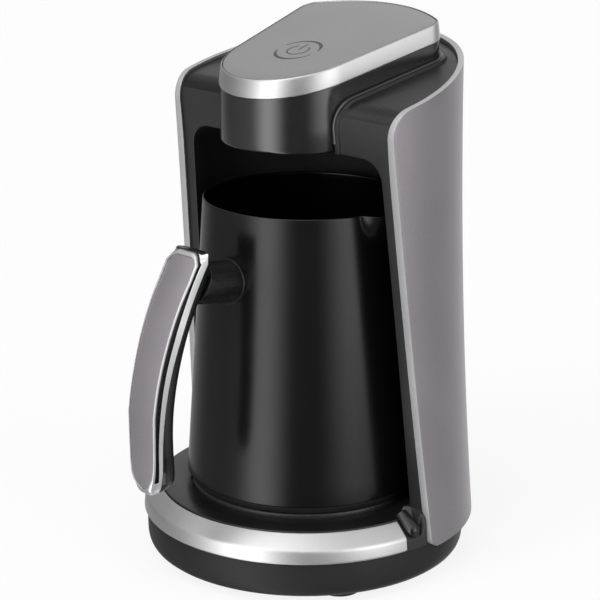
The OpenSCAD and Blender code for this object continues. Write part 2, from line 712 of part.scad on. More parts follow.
module handle_neck() color("#111112") difference() {
    on_neck() translate([0, 0, -1]) cylinder(h = neck_len + handle_d, r1 = neck_r,
        r2 = handle_w / 2 - 0.4);
    pot_cone(washer_t + seat_gap);
    on_neck() translate([0, 0, -stud_len]) cylinder(h = 2 * stud_len + 0.3, r = stud_r + seat_gap);
    on_neck() cylinder(h = far, r = stud_bore_r + clear_r);
    translate([0, handle_bow_r - handle_reach, handle_bow_z]) rotate([0, 90, 0]) difference() {
        cylinder(h = 2 * far, r = handle_bow_r + far, center = true);
        cylinder(h = 3 * far, r = handle_bow_r - handle_d - seat_gap, center = true);
    }
}

module handle_core() color("#141415") difference() {
    intersection() {
        bowed(both_sides([[handle_trim_d + 0.05, handle_w / 2 - 0.5],
            [handle_d - 2, handle_w / 2 - 0.9], [handle_d - 0.8, handle_w / 2 - 2],
            [handle_d, handle_w / 2 - 4]]));
        handle_ends(handle_low_z + 2.5, 5);
    }
    on_neck() cylinder(h = far, r = stud_bore_r + clear_r);
    on_neck() translate([0, 0, neck_len + head_seat]) cylinder(h = far, r = handle_screw_head_r + 0.3);
}

module handle_trim() color("#d8dadb") difference() {
    intersection() {
        bowed(both_sides([[0.7, handle_w / 2], [2.2, handle_w / 2],
            [2.2, handle_w / 2 - handle_groove], [2.2 + handle_groove, handle_w / 2 - handle_groove],
            [2.2 + handle_groove, handle_w / 2], [handle_trim_d, handle_w / 2]]));
        handle_ends(handle_low_z, 9);
        front_bar(handle_w / 2, handle_low_z, handle_top_z, 7.9, 1);
    }
    intersection() {
        bowed(both_sides([[-1, handle_w], [1.3, handle_w]]));
        front_bar(handle_w / 2 - 0.6, handle_low_z + 4, handle_top_z - 1.2, 7.2, 2);
    }
}

module handle_insert() color("#8a8489") intersection() {
    bowed(both_sides(concat([for (i = [0:3]) [0.6 * pow(i / 3, 2), (handle_w / 2 - 0.7) * i / 3]],
        [[1.25, handle_w / 2 - 0.7]])));
    front_bar(handle_w / 2 - 0.7, handle_low_z + 4.1, handle_top_z - 1.3, 7.1, 1.9);
}

module handle_screw() color("#b9bbbd") on_neck() {
    translate([0, 0, 3]) cylinder(h = neck_len + head_seat - 2.8, r = stud_bore_r - 0.1);
    translate([0, 0, neck_len + head_seat + seat_gap]) cylinder(h = 1.3, r = handle_screw_head_r);
}

place() base_shell();
place() bottom_cover();
place() rubber_feet();
place() base_screws();
place() base_trim_ring();
place() base_deck();
place() heating_plate();
place() heating_element();
place() heater_tray();
place() thermostat();
place() thermal_fuse();
place() cord_gland();
place() column_frame();
place() bay_liner();
place() wrap_panel();
place() column_screws();
place() head_housing();
place() head_underside();
place() sensor_window();
place() foam_sensor();
place() power_board();
place() head_trim_ring();
place() top_plate();
place() control_board();
place() button_switch();
place() buzzer();
place() power_button();
place() switch_plunger();
place() pot_shell();
place() pot_base();
place() handle_stud();
place() handle_washer();
place() handle_neck();
place() handle_core();
place() handle_trim();
place() handle_insert();
place() handle_screw();
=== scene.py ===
import json
import math

import bmesh
import bpy
import numpy as np
from mathutils import Matrix, Vector


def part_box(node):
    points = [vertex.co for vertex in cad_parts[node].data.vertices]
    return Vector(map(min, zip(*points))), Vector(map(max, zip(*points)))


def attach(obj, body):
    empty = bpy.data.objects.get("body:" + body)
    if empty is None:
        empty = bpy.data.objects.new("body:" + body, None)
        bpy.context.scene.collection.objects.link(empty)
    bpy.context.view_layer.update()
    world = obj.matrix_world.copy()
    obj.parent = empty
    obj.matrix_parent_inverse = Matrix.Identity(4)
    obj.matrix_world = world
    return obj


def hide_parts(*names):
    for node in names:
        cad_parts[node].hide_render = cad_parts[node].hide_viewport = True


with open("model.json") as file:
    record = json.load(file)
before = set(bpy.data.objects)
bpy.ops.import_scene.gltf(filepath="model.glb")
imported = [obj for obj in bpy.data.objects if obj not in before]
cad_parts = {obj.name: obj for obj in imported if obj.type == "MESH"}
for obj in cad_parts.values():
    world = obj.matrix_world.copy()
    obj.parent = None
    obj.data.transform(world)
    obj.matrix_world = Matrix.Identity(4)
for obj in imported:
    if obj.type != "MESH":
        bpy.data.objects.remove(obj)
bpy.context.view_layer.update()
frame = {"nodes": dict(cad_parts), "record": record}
plateLow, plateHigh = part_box("heating_plate")
axisY = (plateLow.y + plateHigh.y) / 2  # the machine's axis stands behind the origin
mm = 0.001
print("frame loaded,", len(frame["nodes"]), "CAD nodes, axis at y =", round(axisY / mm, 2))


def newObject(name, data):
    piece = bpy.data.objects.new(name, data)
    bpy.context.scene.collection.objects.link(piece)
    return piece


# the camera, from a fit to the photograph's ellipses
view = {"azimuth": 44.5, "elevation": 16.8, "distance": 795.3, "sideways": -2.08, "height": 102.84,
    "lens": 120, "sensor": 36, "near": 0.05, "far": 50}


def makeCamera(v):
    az, el = math.radians(v["azimuth"]), math.radians(v["elevation"])
    back = Vector((math.sin(az) * math.cos(el), -math.cos(az) * math.cos(el), math.sin(el)))
    right = Vector((math.cos(az), math.sin(az), 0))
    up = back.cross(right)
    aim = right * v["sideways"] + Vector((0, 0, v["height"]))
    place = (aim + back * v["distance"]) * mm + Vector((0, axisY, 0))
    data = bpy.data.cameras.new("camera")
    data.lens, data.sensor_width = v["lens"], v["sensor"]
    data.clip_start, data.clip_end = v["near"], v["far"]
    camera = newObject("camera", data)
    camera.matrix_world = Matrix.Translation(place) @ Matrix((right, up, back)).transposed().to_4x4()
    bpy.context.scene.camera = camera
    return Vector((math.sin(az), -math.cos(az), 0))


towardsCamera = makeCamera(view)


# node trees are written as expressions
class Term:
    # one socket of a node tree, used like a number
    def __init__(self, maker, socket):
        self.maker, self.socket = maker, socket

    def of(self, name):  # another output of the same node
        return Term(self.maker, self.socket.node.outputs[name])

    def __add__(self, other):
        return self.maker.maths("ADD", self, other)

    def __radd__(self, other):
        return self.maker.maths("ADD", other, self)

    def __sub__(self, other):
        return self.maker.maths("SUBTRACT", self, other)

    def __rsub__(self, other):
        return self.maker.maths("SUBTRACT", other, self)

    def __mul__(self, other):
        return self.maker.maths("MULTIPLY", self, other)

    def __rmul__(self, other):
        return self.maker.maths("MULTIPLY", other, self)

    def __truediv__(self, other):
        return self.maker.maths("DIVIDE", self, other)

    def __rtruediv__(self, other):
        return self.maker.maths("DIVIDE", other, self)

    def __pow__(self, other):
        return self.maker.maths("POWER", self, other)

    def step(self, low, high, toLow=0.0, toHigh=1.0):
        return self.maker.make("ShaderNodeMapRange", {"interpolation_type": "SMOOTHSTEP"},
            {"Value": self, "From Min": low, "From Max": high, "To Min": toLow, "To Max": toHigh})


class Maker:
    # adds nodes to one tree: their type, their settings, then the values or links of their sockets
    def __init__(self, tree):
        self.tree = tree

    def make(self, kind, settings=None, values=None, output=0):
        node = self.tree.nodes.new(kind)
        for key, value in (settings or {}).items():
            if key == "stops":
                ramp = node.color_ramp
                while len(ramp.elements) < len(value):
                    ramp.elements.new(0.5)
                for element, (place, shade) in zip(ramp.elements, value):
                    element.position, element.color = place, (*shade, 1)
            elif key == "blending":
                node.color_ramp.interpolation = value
            else:
                setattr(node, key, value)
        for key, value in (values or {}).items():
            socket = node.inputs[key]
            if isinstance(value, Term):
                self.tree.links.new(value.socket, socket)
            elif socket.type == "RGBA" and len(value) == 3:
                socket.default_value = (*value, 1)
            else:
                socket.default_value = value
        return Term(self, node.outputs[output]) if node.outputs else Term(self, node.inputs[0])

    def maths(self, operation, *values):
        return self.make("ShaderNodeMath", {"operation": operation}, dict(enumerate(values)))


# finishes
def newMaterial(name):
    material = bpy.data.materials.new(name)
    material.use_nodes = True
    material.node_tree.nodes.clear()
    return material, Maker(material.node_tree)


def blendColours(m, factor, first, second):
    return m.make("ShaderNodeMix", {"data_type": "RGBA"}, {0: factor, 6: first, 7: second}, output=2)


def finishSurface(material, m, surface, height, depth, rounding=0.0):
    # the surface shader with its relief, and the soft edges of moulded pieces
    relief = {"Height": height, "Distance": depth * mm, "Strength": 1.0}
    if rounding:
        relief["Normal"] = m.make("ShaderNodeBevel", {"samples": 6}, {"Radius": rounding * mm})
    normal = m.make("ShaderNodeBump", None, relief)
    shader = m.make("ShaderNodeBsdfPrincipled", None, {**surface, "Normal": normal})
    m.make("ShaderNodeOutputMaterial", None, {"Surface": shader})
    return material


def grain(m, scale, detail=2.0, rough=0.5, stretch=None):
    place = m.make("ShaderNodeTexCoord").of("Object")
    if stretch:
        place = m.make("ShaderNodeMapping", None, {"Vector": place, "Scale": stretch})
    return m.make("ShaderNodeTexNoise", None,
        {"Vector": place, "Scale": scale, "Detail": detail, "Roughness": rough})


# what the finishes of one family share: detail and roughness of the grain, scale of the slow mottling,
# how much of the grain shows in the colour and in the gloss, and where the colour changes
families = {
    "plastic": {"detail": 3.0, "fray": 0.6, "slow": 38, "inColour": 0.35, "edge": (0.3, 0.7), "inGloss": 0.4},
    "paint": {"detail": 2.0, "fray": 0.7, "slow": 30, "inColour": 0.75, "edge": (0.35, 0.65), "inGloss": 0.5},
    "metal": {"detail": 3.0, "fray": 0.6, "slow": 55, "inColour": 0.5, "edge": (0.35, 0.65), "inGloss": 0.6,
        "metal": 1},
    "coating": {"detail": 3.0, "fray": 0.55, "slow": 45, "inColour": 1, "inGloss": 0.4}}

# moulded plastic: an eroded grain, slow changes of gloss, and a little dust-like mottling
plasticKinds = {
    "blackSatin": {"colours": ((0.017, 0.017, 0.0175), (0.025, 0.025, 0.026)), "rough": (0.34, 0.44),
        "scale": 1900, "depth": 0.012, "rounding": 0.5},
    "blackGloss": {"colours": ((0.007, 0.007, 0.0072), (0.011, 0.011, 0.0113)), "rough": (0.16, 0.21),
        "scale": 420, "depth": 0.003, "rounding": 0.4, "gloss": 0.95},
    "handleBlack": {"colours": ((0.006, 0.006, 0.0062), (0.010, 0.010, 0.0102)), "rough": (0.22, 0.30),
        "scale": 900, "depth": 0.004, "rounding": 0.4, "gloss": 0.45},
    # a darker, glossier copy of the frame's black for the toe bars: painted shade
    "toeBlack": {"colours": ((0.004, 0.004, 0.0042), (0.007, 0.007, 0.0073)), "rough": (0.20, 0.26),
        "scale": 900, "depth": 0.004, "rounding": 0.2, "gloss": 0.6},
    "lipBlack": {"colours": ((0.012, 0.012, 0.0123), (0.018, 0.018, 0.0185)), "rough": (0.20, 0.28),
        "scale": 900, "depth": 0.004, "rounding": 0.2, "gloss": 0.9},
    # glossier and darker black for the decks: the darker colour is painted shade
    "deckBlack": {"colours": ((0.005, 0.005, 0.0052), (0.009, 0.009, 0.0093)), "rough": (0.26, 0.34),
        "scale": 900, "depth": 0.004, "rounding": 0.3, "gloss": 0.55},
    "baseBlack": {"colours": ((0.015, 0.015, 0.0153), (0.021, 0.021, 0.0215)), "rough": (0.42, 0.50),
        "scale": 1900, "depth": 0.010, "rounding": 0.5, "gloss": 0.24},
    "blackMatte": {"colours": ((0.006, 0.006, 0.006), (0.011, 0.011, 0.011)), "rough": (0.52, 0.66),
        "scale": 1300, "depth": 0.03, "rounding": 0.3},
    "ivoryCeramic": {"colours": ((0.62, 0.58, 0.48), (0.70, 0.66, 0.57)), "rough": (0.42, 0.55),
        "scale": 1500, "depth": 0.02, "rounding": 0.2},
    "darkWindow": {"colours": ((0.020, 0.003, 0.004), (0.028, 0.005, 0.006)), "rough": (0.06, 0.12),
        "scale": 300, "depth": 0.002, "rounding": 0.2},
    "boardParts": {"colours": ((0.020, 0.026, 0.033), (0.05, 0.06, 0.07)), "rough": (0.35, 0.5),
        "scale": 1100, "depth": 0.02, "rounding": 0.2}}

# painted or anodised metal: fine flakes under a satin lacquer
paintKinds = {
    "greyMetallic": {"colours": ((0.285, 0.269, 0.288), (0.340, 0.323, 0.343)), "metal": 0.60,
        "rough": (0.40, 0.48), "scale": 3200, "depth": 0.006, "coat": 0.12, "coatRough": 0.25, "rounding": 0.4},
    "greyPlate": {"colours": ((0.355, 0.355, 0.360), (0.430, 0.430, 0.436)), "metal": 0.80,
        "rough": (0.34, 0.40), "scale": 3600, "depth": 0.005, "coat": 0.15, "coatRough": 0.18, "rounding": 0},
    "handleInlay": {"colours": ((0.330, 0.312, 0.333), (0.385, 0.366, 0.388)), "metal": 0.66,
        "rough": (0.33, 0.39), "scale": 3200, "depth": 0.004, "coat": 0.10, "coatRough": 0.25, "rounding": 0.3},
    # the rim's lighter grey: a painted highlight
    "panelEdge": {"colours": ((0.47, 0.47, 0.475), (0.54, 0.54, 0.545)), "metal": 0.45,
        "rough": (0.42, 0.50), "scale": 3200, "depth": 0.004, "coat": 0.10, "coatRough": 0.25, "rounding": 0.3}}

# bare and plated metal, with drawn or turned streaks where "streak" stretches the grain
metalKinds = {
    "brightChrome": {"colours": ((0.62, 0.62, 0.625), (0.66, 0.66, 0.665)), "rough": (0.38, 0.44),
        "scale": 700, "streak": (1, 1, 6), "depth": 0.002, "rounding": 0.35},
    # a lighter copy of the chrome for the handle's trim: painted highlight
    "handleChrome": {"colours": ((0.84, 0.84, 0.845), (0.88, 0.88, 0.885)), "rough": (0.34, 0.40),
        "scale": 700, "streak": (1, 1, 6), "depth": 0.002, "rounding": 0.25},
    # a slightly lighter copy of the chrome for the base's ring: painted highlight
    "ringChrome": {"colours": ((0.68, 0.68, 0.685), (0.72, 0.72, 0.725)), "rough": (0.39, 0.45),
        "scale": 700, "streak": (1, 1, 6), "depth": 0.002, "rounding": 0.35},
    "zincSteel": {"colours": ((0.38, 0.38, 0.39), (0.55, 0.55, 0.56)), "rough": (0.28, 0.42),
        "scale": 900, "streak": (1, 1, 1), "depth": 0.01, "rounding": 0.15},
    "traySteel": {"colours": ((0.36, 0.36, 0.36), (0.48, 0.48, 0.48)), "rough": (0.32, 0.46),
        "scale": 400, "streak": (1, 8, 8), "depth": 0.008, "rounding": 0.2},
    "heaterSheath": {"colours": ((0.18, 0.17, 0.16), (0.30, 0.29, 0.28)), "rough": (0.42, 0.60),
        "scale": 600, "streak": (1, 1, 1), "depth": 0.02, "rounding": 0.2},
    "brassCase": {"colours": ((0.45, 0.30, 0.10), (0.62, 0.42, 0.14)), "rough": (0.30, 0.42),
        "scale": 800, "streak": (1, 1, 1), "depth": 0.01, "rounding": 0.15}}

# baked non-stick coating and rubber: a fine pebble with paler specks
coatingKinds = {
    "potCoating": {"colours": ((0.0030, 0.0030, 0.0032), (0.007, 0.007, 0.0073)), "rough": (0.21, 0.26),
        "scale": 1500, "depth": 0.010, "edge": (0.60, 0.68), "rounding": 0.3, "gloss": 0.42},
    "plateCoating": {"colours": ((0.020, 0.020, 0.021), (0.045, 0.045, 0.047)), "rough": (0.36, 0.46),
        "scale": 1200, "depth": 0.014, "edge": (0.58, 0.68), "rounding": 0.3},
    "rubber": {"colours": ((0.010, 0.010, 0.010), (0.018, 0.018, 0.018)), "rough": (0.66, 0.80),
        "scale": 900, "depth": 0.03, "edge": (0.5, 0.7), "rounding": 0.4}}


def makeFinish(name, family, kind):
    k = {"metal": 0, "gloss": 0.5, "coat": 0, "coatRough": 0.25, "streak": None, **families[family], **kind}
    material, m = newMaterial(name)
    fine = grain(m, k["scale"], k["detail"], k["fray"], k["streak"])
    slow = grain(m, k["slow"])
    mottling = lambda share: fine * share + slow * (1 - share)
    low, high = k["rough"]
    return finishSurface(material, m, {
        "Base Color": blendColours(m, mottling(k["inColour"]).step(*k["edge"]), *k["colours"]),
        "Roughness": low + (high - low) * mottling(k["inGloss"]).step(0.3, 0.7), "Metallic": k["metal"],
        "Specular IOR Level": k["gloss"], "Coat Weight": k["coat"], "Coat Roughness": k["coatRough"]},
        fine, k["depth"], rounding=k["rounding"])


boardKind = {"lacquer": (0.012, 0.085, 0.035), "copper": (0.030, 0.150, 0.060), "track": 520,
    "rough": (0.34, 0.46), "trackEdge": (0.25, 0.32), "mottle": 300, "depth": 0.02, "rounding": 0.15}


def circuitBoard(name, k):
    material, m = newMaterial(name)
    place = m.make("ShaderNodeTexCoord").of("Object")
    cells = m.make("ShaderNodeTexVoronoi", {"distance": "MANHATTAN"}, {"Vector": place, "Scale": k["track"]})
    tracks = cells.step(*k["trackEdge"])
    low, high = k["rough"]
    return finishSurface(material, m, {
        "Base Color": blendColours(m, tracks, k["copper"], k["lacquer"]),
        "Roughness": low + (high - low) * grain(m, k["mottle"])}, tracks, k["depth"], rounding=k["rounding"])


# the black mark printed on the button
inkKind = {"colours": ((0.050, 0.050, 0.052), (0.085, 0.085, 0.088)), "rough": (0.42, 0.52), "scale": 2600,
    "edge": (0.5, 0.75), "depth": 0.004}


def markInk(name, k):
    material, m = newMaterial(name)
    fine = grain(m, k["scale"])
    low, high = k["rough"]
    return finishSurface(material, m, {
        "Base Color": blendColours(m, fine.step(*k["edge"]), *k["colours"]),
        "Roughness": low + (high - low) * fine}, fine, k["depth"])


finishes = {}
for family, kinds in zip(families, (plasticKinds, paintKinds, metalKinds, coatingKinds)):
    for name, kind in kinds.items():
        finishes[name] = makeFinish(name, family, kind)
finishes["boardGreen"] = circuitBoard("boardGreen", boardKind)
finishes["markInk"] = markInk("markInk", inkKind)

slotFinish = {"black_satin": "blackSatin", "black_gloss": "blackGloss", "black_matte": "blackMatte",
    "rubber_black": "rubber", "zinc_steel": "zincSteel", "bright_chrome": "brightChrome",
    "plate_coating": "plateCoating", "heater_sheath": "heaterSheath", "tray_steel": "traySteel",
    "ceramic_ivory": "ivoryCeramic", "brass_case": "brassCase", "grey_metallic": "greyMetallic",
    "grey_plate": "greyPlate", "window_dark": "darkWindow", "board_green": "boardGreen",
    "board_parts": "boardParts", "non_stick_black": "potCoating"}
nodeSlot = {entry["node"]: entry["material_slot"] for entry in frame["record"]["subparts"]}
ownFinish = {"handle_neck": "handleBlack", "handle_core": "handleBlack", "base_shell": "baseBlack"}
for node, piece in frame["nodes"].items():
    finish = finishes[ownFinish.get(node, slotFinish[nodeSlot[node]])]
    for index in range(len(piece.material_slots)):
        piece.material_slots[index].material = finish
    if not piece.material_slots:
        piece.data.materials.append(finish)
print("finishes made:", len(finishes))


# what a shiny surface sees at each turn to the right of the camera, in degrees: two tall soft
# boxes in front, darkness beside them, and the white backdrop behind the machine; "low" holds below
# the machine's own height and "ceiling" above it
room = {
    "walls": [(-180, 0.66), (-150, 0.30), (-122, 0.16), (-92, 0.32), (-72, 0.44), (-42, 2.9), (-12, 0.14),
        (12, 0.14), (48, 2.5), (78, 0.70), (104, 0.24), (132, 0.55), (158, 1.05), (180, 0.66)],
    "low": [(-180, 0.66), (-150, 0.35), (-118, 0.22), (-92, 0.30), (-72, 0.44), (-44, 2.9), (-12, 0.12),
        (14, 0.12), (56, 0.50), (82, 0.40), (104, 0.24), (132, 0.55), (158, 1.05), (180, 0.66)],
    "ceiling": [(-180, 0.62), (-128, 0.48), (-98, 0.72), (-66, 2.3), (-18, 1.45), (40, 0.74), (64, 0.78),
        (88, 1.10), (108, 0.36), (140, 0.48), (180, 0.62)],
    "ceilingEdge": (0.42, 0.80), "lowEdge": (-0.27, -0.165), "brightest": 3.2, "diffuse": 0.95}
floorSheet = {"radius": 4.0, "glow": 0.86, "colours": ((0.80, 0.80, 0.80), (0.84, 0.84, 0.84)), "scale": 180,
    "rough": 0.6}
sunBox = {"turn": -25, "rise": 62, "distance": 1.4, "aim": 0.1, "size": 0.9, "watts": 5.0}


def rayKinds(m):  # is the ray the camera's, and is it a reflection or seen through something
    path = m.make("ShaderNodeLightPath")
    glossy = m.maths("MAXIMUM", path.of("Is Glossy Ray"), path.of("Is Transmission Ray"))
    return path.of("Is Camera Ray"), glossy


def makeRoom(r):
    world = bpy.data.worlds.new("room")
    world.use_nodes = True
    world.node_tree.nodes.clear()
    bpy.context.scene.world = world
    m = Maker(world.node_tree)
    towards = m.make("ShaderNodeTexCoord").of("Generated")
    sideways = Vector((-towardsCamera.y, towardsCamera.x, 0))

    def along(direction):
        return m.make("ShaderNodeVectorMath", {"operation": "DOT_PRODUCT"}, {0: towards, 1: tuple(direction)},
            output="Value")

    turn = m.maths("ARCTAN2", along(sideways), along(towardsCamera)) / (2 * math.pi) + 0.5

    def wallLevel(levels):
        stops = [((angle + 180) / 360, (level / r["brightest"],) * 3) for angle, level in levels]
        ramp = m.make("ShaderNodeValToRGB", {"stops": stops, "blending": "EASE"}, {"Fac": turn})
        return ramp * r["brightest"]

    rise = along((0, 0, 1))
    lift = rise.step(*r["ceilingEdge"])
    drop = rise.step(*r["lowEdge"], 1.0, 0.0)
    walls = wallLevel(r["walls"]) * (1 - drop) + wallLevel(r["low"]) * drop
    level = walls * (1 - lift) + wallLevel(r["ceiling"]) * lift
    seen, glossy = rayKinds(m)
    level = level * (glossy + (1 - glossy) * r["diffuse"])
    level = level * (1 - seen) + seen
    glow = m.make("ShaderNodeBackground", None, {"Color": (1, 1, 1), "Strength": level})
    m.make("ShaderNodeOutputWorld", None, {"Surface": glow})


def makeFloor(t):
    mesh = bpy.data.meshes.new("floor")
    shape = bmesh.new()
    bmesh.ops.create_circle(shape, cap_ends=True, segments=96, radius=t["radius"])
    shape.to_mesh(mesh)
    shape.free()
    floor = newObject("floor", mesh)
    material, m = newMaterial("paleFloor")
    soft = m.make("ShaderNodeBsdfDiffuse", None,
        {"Color": blendColours(m, grain(m, t["scale"], 3.0), *t["colours"]), "Roughness": t["rough"]})
    glow = m.make("ShaderNodeEmission", None, {"Color": (1, 1, 1), "Strength": 1.0})
    glowing = m.maths("MAXIMUM", *rayKinds(m)) * t["glow"]
    surface = m.make("ShaderNodeMixShader", None, {0: glowing, 1: soft, 2: glow})
    m.make("ShaderNodeOutputMaterial", None, {"Surface": surface})
    mesh.materials.append(material)
    floor.visible_glossy = floor.visible_shadow = False  # light comes from below too, as in a light tent


def makeSoftBox(name, b):
    turn = math.radians(view["azimuth"] + b["turn"])
    rise = math.radians(b["rise"])
    away = Vector((math.sin(turn) * math.cos(rise), -math.cos(turn) * math.cos(rise), math.sin(rise)))
    data = bpy.data.lights.new(name, "AREA")
    data.shape, data.size, data.energy = "SQUARE", b["size"], b["watts"]
    lamp = newObject(name, data)
    lamp.location = away * b["distance"] + Vector((0, axisY, b["aim"]))
    lamp.rotation_euler = away.to_track_quat("Z", "Y").to_euler()
    lamp.visible_camera = lamp.visible_glossy = False


makeRoom(room)
makeFloor(floorSheet)
makeSoftBox("sunBox", sunBox)
bpy.context.scene.view_settings.view_transform = "Standard"
print("room, floor and soft box placed")


# what all pieces are made with
def settle(points):  # millimetres round the machine's axis, to metres in the frame
    return np.asarray(points, float) * mm + np.array([0, axisY, 0])


merging = {"points": 2e-6, "edges": 1e-6, "beveledSharp": 60}


def newMesh(name, points, faces):
    mesh = bpy.data.meshes.new(name)
    mesh.from_pydata([tuple(p) for p in points], [], faces)
    return mesh


def addPiece(name, points, faces, finish, body, **more):
    return dressPiece(newObject(name, newMesh(name, settle(points), faces)), finish, body, **more)


def dressPiece(piece, finish, body, replaced=(), slot=None, bevel=0.0, segments=3, sharp=40):
    # welds a closed piece, rounds its edges, and gives it its finish, its body and the node that it replaces
    mesh = piece.data
    shape = bmesh.new()
    shape.from_mesh(mesh)
    bmesh.ops.remove_doubles(shape, verts=shape.verts, dist=merging["points"])
    bmesh.ops.dissolve_degenerate(shape, edges=shape.edges, dist=merging["edges"])
    bmesh.ops.recalc_face_normals(shape, faces=shape.faces)
    shape.to_mesh(mesh)
    shape.free()
    if bevel:
        rounded = piece.modifiers.new("edges", "BEVEL")
        rounded.width, rounded.segments = bevel * mm, segments
        rounded.limit_method, rounded.angle_limit = "ANGLE", math.radians(sharp)
        rounded.use_clamp_overlap = True
        mesh = flatten(piece)
    smoothen(mesh, merging["beveledSharp"] if bevel else sharp)
    mesh.materials.clear()
    mesh.materials.append(finishes[finish])
    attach(piece, body)
    if replaced:
        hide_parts(*replaced)
    return piece


def flatten(piece):  # the modifiers' result becomes the plain mesh
    graph = bpy.context.evaluated_depsgraph_get()
    mesh = bpy.data.meshes.new_from_object(piece.evaluated_get(graph))
    piece.modifiers.clear()
    piece.data = mesh
    return mesh


def smoothen(mesh, angle):
    shape = bmesh.new()
    shape.from_mesh(mesh)
    limit = math.radians(angle)
    for face in shape.faces:
        face.smooth = True
    for edge in shape.edges:
        edge.smooth = len(edge.link_faces) == 2 and edge.calc_face_angle(0) < limit
    shape.to_mesh(mesh)
    shape.free()


def ringFaces(count, rings, closedSection=True, closedRing=True):
    # faces between rings of points: rings one after the other, each of count points
    faces = []
    last = rings if closedSection else rings - 1
    for j in range(last):
        k = (j + 1) % rings
        for i in range(count if closedRing else count - 1):
            n = (i + 1) % count
            faces.append((j * count + i, j * count + n, k * count + n, k * count + i))
    return faces


def closedTube(points, count, low, high):
    # rings of count points each, one after the other, closed at both ends by a fan to a middle point
    points = list(points)
    rings = len(points) // count
    faces = ringFaces(count, rings, False)
    for i in range(count):
        n, last = (i + 1) % count, (rings - 1) * count
        faces += [(n, i, len(points)), (last + i, last + n, len(points) + 1)]
    return points + [low, high], faces


def turnedSolid(profile, segments):
    # a profile of (radius, height) pairs that starts and ends on the axis, turned round it
    angles = np.radians(360 * np.arange(segments) / segments)
    points = [(r * math.cos(a), r * math.sin(a), z) for r, z in profile[1:-1] for a in angles]
    return closedTube(points, segments, (0, 0, profile[0][1]), (0, 0, profile[-1][1]))


def newTree(name, inputs):
    # a geometry tree with named inputs, and the maker and the input node for what it holds
    tree = bpy.data.node_groups.new(name, "GeometryNodeTree")
    for title, kind in inputs.items():
        tree.interface.new_socket(title, in_out="INPUT", socket_type="NodeSocket" + kind)
    tree.interface.new_socket("Geometry", in_out="OUTPUT", socket_type="NodeSocketGeometry")
    m = Maker(tree)
    return tree, m, m.make("NodeGroupInput")


def endTree(m, shape, finish):
    solid = m.make("GeometryNodeRealizeInstances", None, {"Geometry": shape})
    finished = m.make("GeometryNodeSetMaterial", None, {"Geometry": solid, "Material": finish})
    m.make("NodeGroupOutput", None, {"Geometry": finished})


def heldShape(m, given, name):  # the geometry of the object that the named input gives
    info = m.make("GeometryNodeObjectInfo", {"transform_space": "ORIGINAL"}, {"Object": given.of(name)})
    return info.of("Geometry")


def runTree(name, tree, inputs):
    # evaluates a tree on an empty mesh, its inputs set by their identifiers, and settles the result
    piece = newObject(name, bpy.data.meshes.new(name))
    modifier = piece.modifiers.new("maker", "NODES")
    modifier.node_group = tree
    for item in tree.interface.items_tree:
        if item.in_out == "INPUT" and item.name in inputs:
            modifier[item.identifier] = inputs[item.name]
    bpy.context.view_layer.update()
    flatten(piece)
    for vertex in piece.data.vertices:
        vertex.co = Vector(settle(vertex.co)[:])
    return piece


def addLathe(name, profile, finish, body, segments, start=0.0, sweep=360.0, **more):
    # a closed profile of (radius, height) pairs, turned round the machine's axis
    full = sweep == 360
    count = segments if full else segments + 1
    angles = np.radians(start + sweep * np.arange(count) / segments)
    points = [(r * math.cos(a), r * math.sin(a), z) for r, z in profile for a in angles]
    faces = ringFaces(count, len(profile), True, full)
    if not full:
        rows = range(len(profile))
        faces += [tuple(j * count for j in rows), tuple(j * count + count - 1 for j in reversed(rows))]
    return addPiece(name, points, faces, finish, body, **more)


def roundProfile(points, radii, steps=5):
    # a closed polygon with each corner rounded by its own radius
    out = []
    n = len(points)
    for i, (p, r) in enumerate(zip(points, radii)):
        p, a, b = np.array(p, float), np.array(points[i - 1], float), np.array(points[(i + 1) % n], float)
        if r <= 0:
            out.append(tuple(p))
            continue
        u, v = (a - p) / np.linalg.norm(a - p), (b - p) / np.linalg.norm(b - p)
        half = math.acos(max(-1, min(1, float(u @ v)))) / 2
        cut = r / math.tan(half)
        centre = p + (u + v) / np.linalg.norm(u + v) * r / math.sin(half)
        first, last = p + u * cut - centre, p + v * cut - centre
        a0, a1 = math.atan2(first[1], first[0]), math.atan2(last[1], last[0])
        turn = (a1 - a0 + math.pi) % (2 * math.pi) - math.pi
        angles = [a0 + turn * t / steps for t in range(steps + 1)]
        out += [tuple(centre + r * np.array([math.cos(t), math.sin(t)])) for t in angles]
    return out


# the wrap panel, and how its edge is painted: a painted highlight on its face and painted shade on its inner
# rounding
panel = {"waistRadius": 60.6, "footRadius": 68.0, "waistHeight": 205.0, "footHeight": 16.5, "thickness": 3.4,
    "thinning": 1.15, "thinFrom": 160, "thinTo": 200, "rounding": 0.9, "faceY": 2.5, "faceLean": 0.096,
    "shoulder": 10.6, "shoulderSlope": 0.16, "topHeight": 190.9, "topSlope": 0.24, "footCorner": 4.0,
    "footArc": 84.8434, "footRows": 8, "faceRows": 61, "shoulderRows": 16, "columns": 150, "weld": 0.01}
# where the rim's painted highlight and painted shade go
rimPaint = {"inGap": 0.06, "outwards": 0.7, "inwards": -0.985, "turned": -0.12, "from": 30}


def panelRadius(z, p=panel):  # of the waisted wall's outside
    return p["waistRadius"] + (p["footRadius"] - p["waistRadius"]) \
        * ((p["waistHeight"] - z) / (p["waistHeight"] - p["footHeight"])) ** 2


def ease(t):
    t = np.clip(t, 0, 1)
    return t * t * (3 - 2 * t)


def panelThinning(z, p=panel):  # the wall gets thinner towards its top
    return p["thinning"] * float(ease((z - p["thinFrom"]) / (p["thinTo"] - p["thinFrom"])))


